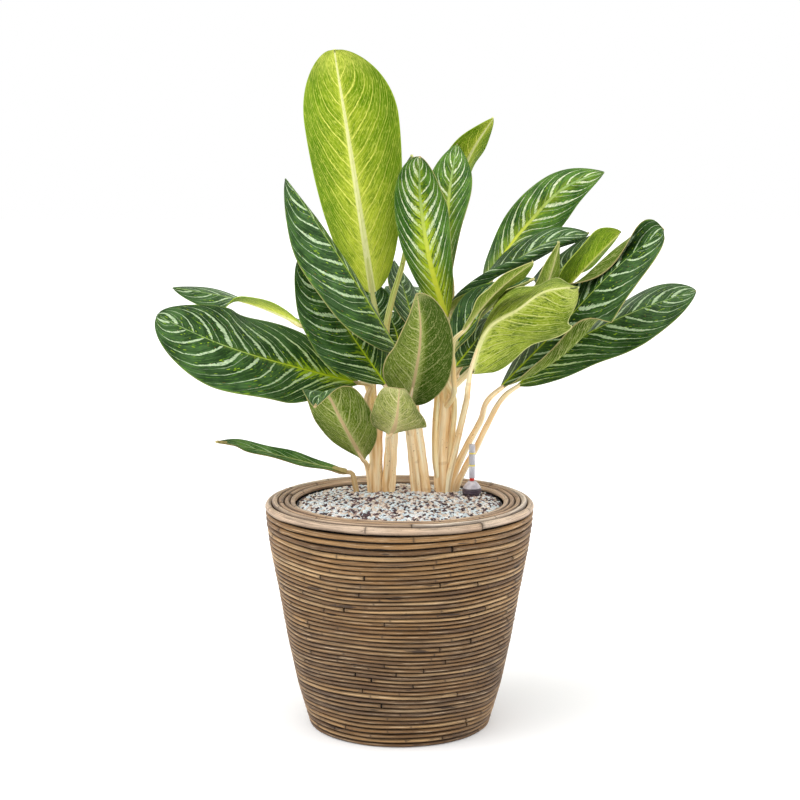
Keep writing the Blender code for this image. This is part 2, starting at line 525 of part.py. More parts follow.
def blade_surface(leaf, steps, across):
    """Middle surface of a blade as a grid of points, with its normals."""
    fine = np.linspace(0, 1, 61)
    line = smooth_path(leaf["path"], fine)
    way = unit(np.gradient(line, axis=0))
    shares = np.sin(np.linspace(0, 1, steps + 1) * math.pi / 2 * 0.98 + 0.01)
    shares = 0.5 * (shares + np.linspace(0, 1, steps + 1))
    shares = (shares - shares[0]) / (shares[-1] - shares[0])
    pick = [np.interp(shares, fine, line[:, k]) for k in range(3)]
    centre = np.stack(pick, 1)
    along = unit(np.stack([np.interp(shares, fine, way[:, k]) for k in range(3)], 1))
    face = unit(leaf["face"])[None] * (1 - shares)[:, None] + unit(leaf["face_tip"])[None] * shares[:, None]
    up = unit(face - (along * face).sum(1)[:, None] * along)
    side = np.cross(along, up)
    ends = BLADE_ROOT_HALF + (BLADE_TIP_HALF - BLADE_ROOT_HALF) * shares
    half = np.maximum(leaf["width"] / 2 * half_width(shares, leaf["shape"]), ends)
    grid = np.zeros((steps + 1, len(across), 3))
    bend = math.radians(leaf["cup"])
    rolls, starts = leaf.get("roll", (0, 0)), leaf.get("roll_from", (0.5, 0.5))
    windows = leaf.get("roll_along", ((0, 1), (0, 1)))
    halves = leaf.get("halves", (np.ones(5), np.ones(5)))
    for j, place in enumerate(across):
        reach = abs(place)
        begin, stop = windows[place > 0]
        fade = np.sin(math.pi * np.clip((shares - begin) / (stop - begin), 0, 1)) ** 0.5
        root, tip = leaf["fold_a"] if place < 0 else leaf["fold_b"]
        fold = np.radians(root + (tip - root) * shares)
        parts = (np.arange(16) + 0.5) / 16 * reach
        roll = math.radians(rolls[place > 0]) * np.clip((parts - starts[place > 0]) / ROLL_SPAN, 0, 1)
        angles = fold[:, None] + bend * parts[None, :] + roll[None, :] * fade[:, None]
        wide = half * np.interp(shares, np.linspace(0, 1, 5), halves[place > 0])
        out = np.cos(angles).mean(1) * reach * math.copysign(1, place) * wide
        lift = np.sin(angles).mean(1) * reach * wide
        phase = 0.0 if place < 0 else 1.9
        lift += leaf.get("wave", 0.0015) * reach**2 * np.sin(5 * math.pi * shares + phase) * np.sin(math.pi * shares)
        grid[:, j] = centre + side * out[:, None] + up * lift[:, None]
    du = np.gradient(grid, axis=0)
    dv = np.gradient(grid, axis=1)
    normals = unit(np.cross(du, dv))
    turn = np.sign((normals[:, len(across) // 2] * up).sum(1))
    return grid, normals * turn[:, None, None], along


def leaf_blade(name, leaf):
    """A closed thin blade, split into the same triangles on both faces."""
    grid, normals, _ = blade_surface(leaf, BLADE_STEPS, BLADE_ACROSS)
    rows, columns = grid.shape[:2]
    thick = np.array([BLADE_EDGE + (BLADE_RIB - BLADE_EDGE) * (1 - abs(s)) for s in BLADE_ACROSS])
    shift = normals * thick[None, :, None] / 2
    verts = np.concatenate([(grid + shift).reshape(-1, 3), (grid - shift).reshape(-1, 3)])
    under = rows * columns
    faces = []
    for i in range(rows - 1):
        for j in range(columns - 1):
            a, b, c, d = i * columns + j, i * columns + j + 1, (i + 1) * columns + j + 1, (i + 1) * columns + j
            pair = [(a, b, c), (a, c, d)] if j < columns // 2 else [(a, b, d), (b, c, d)]
            faces += pair
            faces += [tuple(under + v for v in reversed(face)) for face in pair]
    border = [i * columns for i in range(rows)] + [(rows - 1) * columns + j for j in range(1, columns)]
    border += [i * columns + columns - 1 for i in range(rows - 2, -1, -1)]
    border += [j for j in range(columns - 2, 0, -1)]
    for a, b in zip(border, border[1:] + border[:1]):
        faces += [(a, b, under + b), (a, under + b, under + a)]
    kind = "leaf_dark"
    if name in LIME_LEAVES:
        kind = "leaf_lime"
    elif name in OLIVE_LEAVES:
        kind = "leaf_olive"
    elif name == "withered":
        kind = "leaf_dry"
    return add_object(f"leaf_{name}", verts, faces, kind)


def tube(name, points, root, tip, sides=STALK_SIDES):
    """A closed tapering tube along a smooth path."""
    points = np.asarray(points, float)
    length = np.linalg.norm(np.diff(points, axis=0), axis=1).sum()
    count = max(3, int(round(length / STALK_STEP)))
    shares = np.linspace(0, 1, count + 1)
    line = smooth_path(points, shares)
    way = unit(np.gradient(line, axis=0))
    first = unit(np.cross(way[0], (0.31, 0.93, 0.2)))
    verts, faces = [], []
    for i, (spot, along) in enumerate(zip(line, way)):
        first = unit(first - np.dot(first, along) * along)
        second = np.cross(along, first)
        radius = root + (tip - root) * shares[i]
        for k in range(sides):
            angle = 2 * math.pi * k / sides
            verts.append(spot + radius * (first * math.cos(angle) + second * math.sin(angle)))
    for i in range(count):
        for k in range(sides):
            j = (k + 1) % sides
            faces.append([i * sides + k, i * sides + j, (i + 1) * sides + j, (i + 1) * sides + k])
    faces.append(list(range(sides))[::-1])
    faces.append([count * sides + k for k in range(sides)])
    return add_object(name, verts, faces, "cane")


def stalk_points(leaf):
    """Points of a stalk, from the crown or cane to just short of its blade."""
    path = smooth_path(leaf["path"], np.array([0.0, 0.02]))
    way = unit(path[1] - path[0])
    end = path[0] - way * GAP * 2
    points = list(leaf["stalk"])
    if points[0][2] < STALK_FROM_CROWN:
        points.insert(0, (points[0][0], points[0][1], CROWN_TOP - STALK_SUNK))
    straight = STALK_SHORT if leaf["group"] == "withered" else STALK_STRAIGHT
    return points + [tuple(end - way * straight), tuple(end)]


def stem_group(group):
    """Crown, thick canes and leaf stalks of one group, joined into one body."""
    x, y, radius = CROWNS[group]
    bottom = CROWN_TOP - CROWN_DEPTH
    body = lathe(f"stems_{group}", [(0, bottom), (radius, bottom), (radius, CROWN_TOP), (0, CROWN_TOP)],
                 CROWN_SIDES, "cane", (x, y), 0.2)
    parts = bpy.data.collections.new(f"parts_{group}")
    bpy.context.scene.collection.children.link(parts)
    for number, (points, root, tip) in enumerate(CANES[group]):
        move_to(tube(f"cane_{group}_{number}", points, root, tip, CANE_SIDES), parts)
    for name, leaf in LEAVES.items():
        if leaf["group"] == group:
            move_to(tube(f"stalk_{name}", stalk_points(leaf), leaf["root"], STALK_TIP_RADIUS), parts)
    combine(body, parts, "UNION")
    return body


def gauge():
    """Collar with its buried shaft, cone, float and tube, stacked upward."""
    centre = (GAUGE_X, GAUGE_Y)
    bottom = CROWN_TOP - CROWN_DEPTH
    lathe("gauge_collar", [(0, bottom), (SHAFT_RADIUS, bottom), (SHAFT_RADIUS, COLLAR_BOTTOM),
                           (COLLAR_RADIUS, COLLAR_BOTTOM), (COLLAR_RADIUS, COLLAR_TOP), (0, COLLAR_TOP)],
          GAUGE_SEGMENTS, "gauge_collar", centre)
    low = COLLAR_TOP + GAP
    lathe("gauge_cone", [(0, low), (COLLAR_RADIUS * 0.92, low), (CONE_TOP_RADIUS, CONE_TOP), (0, CONE_TOP)],
          GAUGE_SEGMENTS, "gauge_cone", centre)
    low = CONE_TOP + GAP
    lathe("gauge_float", [(0, low), (FLOAT_RADIUS, low), (FLOAT_RADIUS, low + FLOAT_HEIGHT),
                          (0, low + FLOAT_HEIGHT)], GAUGE_SEGMENTS, "gauge_float", centre)
    inner = TUBE_RADIUS - TUBE_WALL
    lathe("gauge_tube", [(inner, low), (TUBE_RADIUS, low), (TUBE_RADIUS, TUBE_TOP - 0.001),
                         (TUBE_RADIUS - 0.001, TUBE_TOP), (0, TUBE_TOP), (0, TUBE_TOP - TUBE_WALL * 2),
                         (inner, TUBE_TOP - TUBE_WALL * 2)], GAUGE_SEGMENTS, "gauge_tube", centre)


def build():
    """Everything, from the pot to the leaves."""
    for thing in list(bpy.data.objects):
        bpy.data.objects.remove(thing)
    rattan_wall()
    rim_coils()
    base_board()
    inner_liner()
    granulate()
    gauge()
    for group in CROWNS:
        stem_group(group)
    for name, leaf in LEAVES.items():
        leaf_blade(name, leaf)


build()
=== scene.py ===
"""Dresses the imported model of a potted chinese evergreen.

Striped leaves on cream stalks, a pot wound with rattan cane, mineral granulate and a
water-level gauge. Sizes are in metres, +Z is up and the viewer stands on the -Y side.
"""
import logging
import math
import random
from dataclasses import dataclass, field
from enum import Enum
from typing import Callable, Sequence

import bpy
import numpy as np
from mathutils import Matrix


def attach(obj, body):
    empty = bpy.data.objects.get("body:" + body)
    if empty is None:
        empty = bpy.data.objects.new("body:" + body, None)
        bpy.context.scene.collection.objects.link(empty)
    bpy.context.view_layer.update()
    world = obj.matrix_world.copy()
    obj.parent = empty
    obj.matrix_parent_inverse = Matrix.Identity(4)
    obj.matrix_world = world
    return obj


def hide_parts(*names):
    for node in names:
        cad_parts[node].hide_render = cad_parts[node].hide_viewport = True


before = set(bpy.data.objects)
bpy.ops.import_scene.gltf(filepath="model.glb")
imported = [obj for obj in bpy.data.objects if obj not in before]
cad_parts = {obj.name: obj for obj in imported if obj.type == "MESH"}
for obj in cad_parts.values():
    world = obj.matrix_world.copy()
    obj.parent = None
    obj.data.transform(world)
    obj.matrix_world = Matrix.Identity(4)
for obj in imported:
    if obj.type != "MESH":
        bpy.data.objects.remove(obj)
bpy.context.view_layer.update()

LOG = logging.getLogger("potted_plant")
BODY = "root"

TURN = 2 * math.pi
MM = 1000.0  # millimetres in a metre
MERGE = 1e-6  # vertices closer than this are one
SLANTING = (0.31, 0.93, 0.2)  # a direction that no stalk follows
ANY_ANGLE = (0.0, 6.28)

Colour = tuple[float, float, float]
Point = tuple[float, float, float]
Profile = Sequence[tuple[float, float]]
Socket = bpy.types.NodeSocket
Material = bpy.types.Material
Piece = bpy.types.Object
Array = np.ndarray


def screen(red: int, green: int, blue: int) -> Colour:
    """The linear colour of a screen colour in numbers from 0 to 255."""
    parts = (red / 255, green / 255, blue / 255)
    return tuple(p / 12.92 if p <= 0.04045 else ((p + 0.055) / 1.055) ** 2.4 for p in parts)


def operator(operation: str, swap: bool = False) -> Callable[["Value", "Value | float"], "Value"]:
    """A method of Value that adds one Math node.

    Args:
        operation: the node's operation.
        swap: whether the other number comes first, as in 1 - mask.

    Returns:
        The method.
    """
    def method(self: "Value", other: "Value | float") -> "Value":
        """The operation on this number and another."""
        return self.math(operation, other, self) if swap else self.math(operation, self, other)
    return method


class Value:
    """A number socket; Python's operators add Math nodes to its tree.

    over gives 1 where a number is greater than another, else 0, largest the greater of the two and
    least the smaller.
    """

    def __init__(self, nodes: "Nodes", socket: Socket) -> None:
        """Keeps the tree and the socket that gives the number."""
        self.nodes = nodes
        self.socket = socket

    def math(self, operation: str, first: "Value | float", second: "Value | float" = 0.0) -> "Value":
        """One Math node, with its operation and its one or two numbers."""
        node = self.nodes.add("ShaderNodeMath", {"operation": operation}, {0: first, 1: second})
        return Value(self.nodes, node.outputs[0])

    __add__ = operator("ADD")
    __radd__ = operator("ADD", True)
    __sub__ = operator("SUBTRACT")
    __rsub__ = operator("SUBTRACT", True)
    __mul__ = operator("MULTIPLY")
    __rmul__ = operator("MULTIPLY", True)
    __truediv__ = operator("DIVIDE")
    __rtruediv__ = operator("DIVIDE", True)
    __pow__ = operator("POWER")
    over = operator("GREATER_THAN")
    largest = operator("MAXIMUM")
    least = operator("MINIMUM")

    def __abs__(self) -> "Value":
        """The size of the number."""
        return self.math("ABSOLUTE", self)

    def fract(self) -> "Value":
        """What is left above the whole number below."""
        return self.math("FRACT", self)

    def floor(self) -> "Value":
        """The whole number below."""
        return self.math("FLOOR", self)

    def clamp(self) -> "Value":
        """The number held between 0 and 1."""
        return self.largest(0.0).least(1.0)

    def rise(self, low: float, high: float) -> "Value":
        """A smooth step.

        Args:
            low: where it is 0.
            high: where it is 1; may be less than low for a falling step.

        Returns:
            A number from 0 to 1.
        """
        flip = high < low
        ends = {"From Min": min(low, high), "From Max": max(low, high),
                "To Min": 1.0 if flip else 0.0, "To Max": 0.0 if flip else 1.0}
        node = self.nodes.add("ShaderNodeMapRange", {"interpolation_type": "SMOOTHSTEP"},
                              {"Value": self, **ends})
        return Value(self.nodes, node.outputs[0])


class Nodes:
    """Builds the node tree of one material."""

    def __init__(self, name: str) -> None:
        """Makes an empty material of that name.

        Args:
            name: the material's name.
        """
        self.material = bpy.data.materials.new(name)
        self.material.use_nodes = True
        self.tree = self.material.node_tree
        self.tree.nodes.clear()

    def add(self, kind: str, settings: dict[str, object] | None = None,
            sockets: dict[str | int, object] | None = None) -> bpy.types.Node:
        """Any node.

        Args:
            kind: the node's type.
            settings: its properties, set first; "stops" fills a colour ramp.
            sockets: a value or a link for each input, by name or number.

        Returns:
            The node.
        """
        node = self.tree.nodes.new(kind)
        for key, value in (settings or {}).items():
            if key == "stops":
                self.fill_ramp(node, value)
            else:
                setattr(node, key, value)
        for key, value in (sockets or {}).items():
            if isinstance(value, Value):
                self.tree.links.new(value.socket, node.inputs[key])
            elif isinstance(value, Socket):
                self.tree.links.new(value, node.inputs[key])
            elif isinstance(value, tuple) and node.inputs[key].type == "RGBA":
                node.inputs[key].default_value = (*value[:3], 1.0)
            else:
                node.inputs[key].default_value = value
        return node

    @staticmethod
    def fill_ramp(node: bpy.types.Node, stops: Sequence[tuple[float, Colour]]) -> None:
        """Puts colours on a ramp at their places from 0 to 1.

        Args:
            node: the ramp node.
            stops: its places and colours.
        """
        elements = node.color_ramp.elements
        while len(elements) < len(stops):
            elements.new(0.5)
        for element, (place, colour) in zip(elements, stops):
            element.position = place
            element.color = (*colour, 1.0)

    def number(self, kind: str, settings: dict[str, object] | None = None,
               sockets: dict[str | int, object] | None = None, output: int | str = 0) -> Value:
        """Any node, read as a number at one of its outputs."""
        return Value(self, self.add(kind, settings, sockets).outputs[output])

    def place(self) -> Socket:
        """Object coordinates."""
        return self.add("ShaderNodeTexCoord").outputs["Object"]

    def split(self, vector: Socket) -> tuple[Value, Value, Value]:
        """The three numbers of a vector."""
        node = self.add("ShaderNodeSeparateXYZ", sockets={0: vector})
        return tuple(Value(self, output) for output in node.outputs)

    def map(self, name: str) -> tuple[Value, Value]:
        """The two numbers of a UV map of the piece."""
        return self.split(self.add("ShaderNodeUVMap", {"uv_map": name}).outputs[0])[:2]

    def marks(self) -> tuple[Value, Value, Value]:
        """The three numbers of the piece's own "marks" attribute."""
        return self.split(self.add("ShaderNodeAttribute", {"attribute_name": "marks"}).outputs["Vector"])

    def vector(self, x: Value | float, y: Value | float, z: Value | float = 0.0) -> Socket:
        """Three numbers as a vector."""
        return self.add("ShaderNodeCombineXYZ", sockets={0: x, 1: y, 2: z}).outputs[0]

    def stretch(self, vector: Socket, scale: Point) -> Socket:
        """A vector scaled along its axes."""
        return self.add("ShaderNodeMapping", {}, {"Vector": vector, "Scale": scale}).outputs[0]

    def noise(self, vector: Socket, scale: float, detail: float = 2.0, rough: float = 0.5) -> Value:
        """Noise from 0 to 1, with scale waves per unit and finer layers as strong as rough."""
        return self.number("ShaderNodeTexNoise", {},
                           {"Vector": vector, "Scale": scale, "Detail": detail, "Roughness": rough})

    def flow(self, place: Sequence[Value | float], detail: float, rough: float = 0.5) -> Value:
        """Noise of one wave per unit, read at three numbers."""
        return self.noise(self.vector(*place), 1.0, detail, rough)

    def chance(self, x: Value | float, y: Value | float = 0.0, z: Value | float = 0.0) -> Value:
        """A random number from 0 to 1 for each set of three numbers."""
        return self.number("ShaderNodeTexWhiteNoise", {"noise_dimensions": "3D"},
                           {"Vector": self.vector(x, y, z)})

    def cells(self, vector: Socket, scale: float) -> bpy.types.Node:
        """A Voronoi node, for its distance and its colour for each cell."""
        return self.add("ShaderNodeTexVoronoi", {}, {"Vector": vector, "Scale": scale})

    def mix(self, share: Value | float, low: object, high: object) -> Socket:
        """Two colours mixed, with share of the second."""
        return self.add("ShaderNodeMix", {"data_type": "RGBA"}, {0: share, 6: low, 7: high}).outputs[2]

    def ramp(self, value: Value, stops: Sequence[tuple[float, Colour]]) -> Socket:
        """A number turned into a colour by a ramp."""
        return self.add("ShaderNodeValToRGB", {"stops": stops}, {0: value}).outputs[0]

    def bump(self, height: Value, depth: float) -> Socket:
        """A normal from a height of 0 to 1 that stands for depth in metres."""
        sockets = {"Height": height, "Strength": 1.0, "Distance": depth}
        return self.add("ShaderNodeBump", {}, sockets).outputs[0]

    def finish(self, constant: dict[str, object], **varying: object) -> Material:
        """Ends the tree in a Principled shader.

        Args:
            constant: sockets with one value all over.
            varying: Colour, Roughness and Normal where they vary.

        Returns:
            The material.
        """
        names = {"colour": "Base Color", "roughness": "Roughness", "normal": "Normal"}
        sockets = dict(constant)
        sockets.update({names[key]: value for key, value in varying.items()})
        shader = self.add("ShaderNodeBsdfPrincipled", {}, sockets)
        self.add("ShaderNodeOutputMaterial", {}, {"Surface": shader.outputs[0]})
        return self.material


class Coat:
    """A colour that is built up in layers."""

    def __init__(self, nodes: Nodes, colour: Socket) -> None:
        """Keeps the tree and the first colour."""
        self.nodes = nodes
        self.colour = colour

    def lay(self, share: Value | float, tone: object) -> None:
        """Lays a colour over what is there, as far as share says."""
        self.colour = self.nodes.mix(share, self.colour, tone)


@dataclass(frozen=True)
class CaneFinish:
    """Peeled rattan cane: fibre along its length, dark nodes, a tone for each length, and painted shade where
    canes meet and in the gaps between them.
    """

    name: str
    tones: tuple[Colour, ...]
    # brown of real stains and specks, also the colour of the painted shade between canes
    stain_and_shade: Colour = screen(46, 32, 22)
    grey: Colour = screen(112, 92, 74)
    bands: tuple[tuple[float, float, float], ...] = ()
    # strength of the painted shade in the gaps between canes
    gap_shading: float = 0.0
    roughness: float = 0.42

    def material(self) -> Material:
        """Cane whose UV map "length" runs along it and whose marks are tone, seed, and node darkness joined
        with painted shade.

        Returns:
            The material.
        """
        nodes = Nodes(self.name)
        along, around = nodes.map("length")
        # knot holds real dark nodes and ends, and also the painted shade on the sides where canes meet
        tone, seed, knot = nodes.marks()
        place = nodes.place()
        height = nodes.split(place)[2]
        stops = [(k / (len(self.tones) - 1), colour) for k, colour in enumerate(self.tones)]
        shift = nodes.flow((along * 14, seed * 37, 0.0), 2.0) - 0.5
        coat = Coat(nodes, nodes.ramp((tone + shift * 0.9).clamp(), stops))
        grey = nodes.flow((along * 9, seed * 91, 3.0), 2.0).rise(0.52, 0.72) * 0.5
        for middle, span, weight in self.bands:
            grey = grey + (abs(height - middle) / span).rise(1.0, 0.25) * weight
        coat.lay(grey.clamp(), self.grey)
        fibre = nodes.flow((along * 22, around * 1500, seed * 50), 4.0, 0.7)
        coat.lay(fibre.rise(0.60, 0.36) * 0.70, self.stain_and_shade)
        # pale fibres of the cane, strong enough to serve as painted highlight streaks too
        pale = nodes.flow((along * 30, around * 1100, seed * 70), 3.0, 0.65)
        coat.lay(pale.rise(0.55, 0.70) * 0.62, screen(236, 208, 170))
        specks = nodes.flow((along * 420, around * 900, seed * 13), 1.0)
        coat.lay(specks.rise(0.70, 0.78) * 0.75, self.stain_and_shade)
        smudge = nodes.flow((along * 60, around * 260, seed * 29), 3.0, 0.7)
        # painted shade: long dark patches across neighbouring canes where the weave gaps, joined with real
        # smudges
        gap_shade = nodes.noise(nodes.stretch(place, (26.0, 26.0, 250.0)), 1.0).rise(0.66, 0.71) * self.gap_shading
        coat.lay(gap_shade.largest(smudge.rise(0.66, 0.74) * 0.8), self.stain_and_shade)
        # dark nodes and ends, together with the painted shade where canes meet
        coat.lay(knot.clamp() * (0.55 + smudge * 0.5), self.stain_and_shade)
        relief = fibre * 0.6 + specks * 0.2 - knot * 0.5
        return nodes.finish({"Specular IOR Level": 0.32}, colour=coat.colour,
                            roughness=(self.roughness + fibre * 0.22 + grey * 0.1).clamp(),
                            normal=nodes.bump(relief, 0.0004))


@dataclass(frozen=True)
class DarkFinish:
    """A plain dark surface with fine grain, for what stays in the shade."""

    name: str
    deep: Colour
    light: Colour
    scale: float = 90.0
    roughness: float = 0.6
    depth: float = 0.0004

    def material(self) -> Material:
        """Two dark tones in fine noise.

        Returns:
            The material.
        """
        nodes = Nodes(self.name)
        place = nodes.place()
        wide = nodes.noise(place, self.scale * 0.3, 3.0)
        fine = nodes.noise(place, self.scale * 6, 3.0, 0.6)
        coat = Coat(nodes, nodes.mix((wide * 0.5 + fine * 0.5).rise(0.35, 0.65), self.deep, self.light))
        return nodes.finish({"Specular IOR Level": 0.4}, colour=coat.colour,
                            roughness=(self.roughness + fine * 0.2 - 0.1).clamp(),
                            normal=nodes.bump(fine, self.depth))


@dataclass(frozen=True)
class BoardFinish:
    """Raw board under the pot: growth rings sawn through and open pores."""

    name: str = "board_wood"

    def material(self) -> Material:
        """Brown wood with grain along X.

        Returns:
            The material.
        """
        nodes = Nodes(self.name)
        place = nodes.place()
        grain = nodes.noise(nodes.stretch(place, (3.0, 60.0, 60.0)), 1.0, 4.0, 0.6)
        pores = nodes.noise(nodes.stretch(place, (40.0, 900.0, 900.0)), 1.0, 2.0)
        coat = Coat(nodes, nodes.mix(grain.rise(0.30, 0.70), screen(92, 66, 44), screen(142, 108, 74)))
        coat.lay(pores.rise(0.60, 0.72) * 0.6, screen(60, 42, 28))
        return nodes.finish({"Specular IOR Level": 0.3}, colour=coat.colour, roughness=0.62 + pores * 0.2,
                            normal=nodes.bump(grain * 0.5 + pores * 0.5, 0.0005))


@dataclass(frozen=True)
class GrainFinish:
    """Mineral grains: pale blue-white, beige and dark purple-brown, each with its own tone."""

    name: str = "mineral_grains"

    def material(self) -> Material:
        """Marks give each grain its kind and its tone.

        Returns:
            The material.
        """
        nodes = Nodes(self.name)
        kind, tone, _ = nodes.marks()
        place = nodes.place()
        stops = [(0.00, screen(44, 30, 38)), (0.22, screen(88, 66, 72)), (0.28, screen(150, 124, 118)),
                 (0.34, screen(216, 194, 174)), (0.52, screen(238, 224, 210)), (0.62, screen(252, 248, 244)),
                 (0.76, screen(206, 222, 230)), (1.00, screen(242, 252, 255))]
        coat = Coat(nodes, nodes.ramp(kind, stops))
        coat.lay(tone * 0.12, screen(120, 100, 96))
        pits = nodes.noise(place, 900.0, 3.0, 0.7)
        coat.lay(pits.rise(0.54, 0.38) * 0.45, screen(84, 66, 64))
        dust = nodes.noise(place, 380.0, 2.0)
        coat.lay(dust.rise(0.58, 0.75) * 0.3, screen(246, 244, 238))
        return nodes.finish({"Specular IOR Level": 0.3}, colour=coat.colour, roughness=0.75 + pits * 0.15,
                            normal=nodes.bump(pits, 0.0005))


@dataclass(frozen=True)
class StalkFinish:
    """Cream stalks: tan creases, fine length lines, brown specks, greener where marked."""

    name: str = "cream_stalk"
    tan: float = 0.0

    def material(self) -> Material:
        """Marks are greenness, seed and crease; the UV map "length" runs along the stalk.

        Returns:
            The material.
        """
        nodes = Nodes(self.name)
        along, around = nodes.map("length")
        green, seed, crease = nodes.marks()
        place = nodes.place()
        cloud = nodes.flow((along * 16, around * 120, seed * 40), 3.0, 0.6)
        creams = [(0.25, screen(228, 184, 120)), (0.40, screen(248, 214, 162)), (0.56, screen(254, 236, 196)),
                  (0.76, screen(255, 248, 226))]
        coat = Coat(nodes, nodes.ramp(cloud, creams))
        lines = nodes.flow((along * 10, around * 1500, seed * 80), 3.0, 0.6)
        coat.lay(lines.rise(0.54, 0.38) * 0.42, screen(218, 168, 100))
        lime = nodes.mix(lines.rise(0.38, 0.60), screen(168, 184, 70), screen(212, 216, 130))
        reach = (green + (cloud - 0.5) * 0.5).clamp()
        coat.lay(reach, lime)
        streak = nodes.flow((along * 22, around * 520, seed * 17), 2.0)
        coat.lay(streak.rise(0.60, 0.70) * green.rise(0.15, 0.6), screen(104, 134, 44))
        coat.lay(crease.clamp() * 0.70, screen(172, 124, 66))
        coat.lay(lines.rise(0.25, 0.60) * self.tan, screen(166, 130, 72))
        foot = (0.285 - nodes.split(place)[2]).rise(0.0, 0.04) * cloud.rise(0.62, 0.36)
        coat.lay(foot * 0.5, screen(186, 136, 76))
        specks = nodes.flow((along * 420, around * 420, seed * 5), 1.0)
        blots = nodes.flow((along * 40, around * 60, seed * 63), 2.0).rise(0.50, 0.66)
        coat.lay(specks.rise(0.66, 0.74) * blots, screen(128, 82, 40))
        scar = nodes.flow((along * 95, around * 25, seed * 3), 1.0).rise(0.70, 0.76)
        coat.lay(scar * 0.25 * (1 - green.clamp()), screen(170, 118, 62))
        relief = lines * 0.5 + cloud * 0.5 - crease
        return nodes.finish({"Specular IOR Level": 0.30}, colour=coat.colour, roughness=0.46 + lines * 0.16,
                            normal=nodes.bump(relief, 0.0006))


@dataclass(frozen=True)
class PlasticFinish:
    """Moulded plastic with faint flow marks and dust."""

    name: str
    colour: Colour
    light: Colour
    roughness: float = 0.32
    alpha: float = 1.0

    def material(self) -> Material:
        """A tone with fine scuffs; alpha below 1 lets what is behind show.

        Returns:
            The material.
        """
        nodes = Nodes(self.name)
        place = nodes.place()
        cloud = nodes.noise(place, 120.0, 3.0)
        scuff = nodes.noise(nodes.stretch(place, (900.0, 900.0, 160.0)), 1.0, 2.0)
        coat = Coat(nodes, nodes.mix(cloud.rise(0.35, 0.70), self.colour, self.light))
        return nodes.finish({"Specular IOR Level": 0.5, "Alpha": self.alpha}, colour=coat.colour,
                            roughness=(self.roughness + scuff.rise(0.5, 0.75) * 0.22),
                            normal=nodes.bump(scuff, 0.00008))


def blade_places(nodes: Nodes, slant: float, bow: float) -> tuple[Value, ...]:
    """Where a point of a blade lies, from its UV map "blade" and from "span" in metres.

    Args:
        nodes: the material's tree.
        slant: how far the side veins lean to the tip, as a share of the blade's length.
        bow: how far they bend on towards the margin.

    Returns:
        Its share of the length, its distance from the rib in metres, its share of the half width,
        0 or 1 for the half that it is on, a soft noise, and where its side vein leaves the rib.
    """
    across, along = nodes.map("blade")
    lateral, _ = nodes.map("span")
    turn = across * 2 - 1
    reach = abs(turn)
    warp = nodes.noise(nodes.place(), 34.0, 3.0) - 0.5
    return along, lateral, reach, turn.over(0.0), warp, along - reach * slant - reach * reach * reach * bow


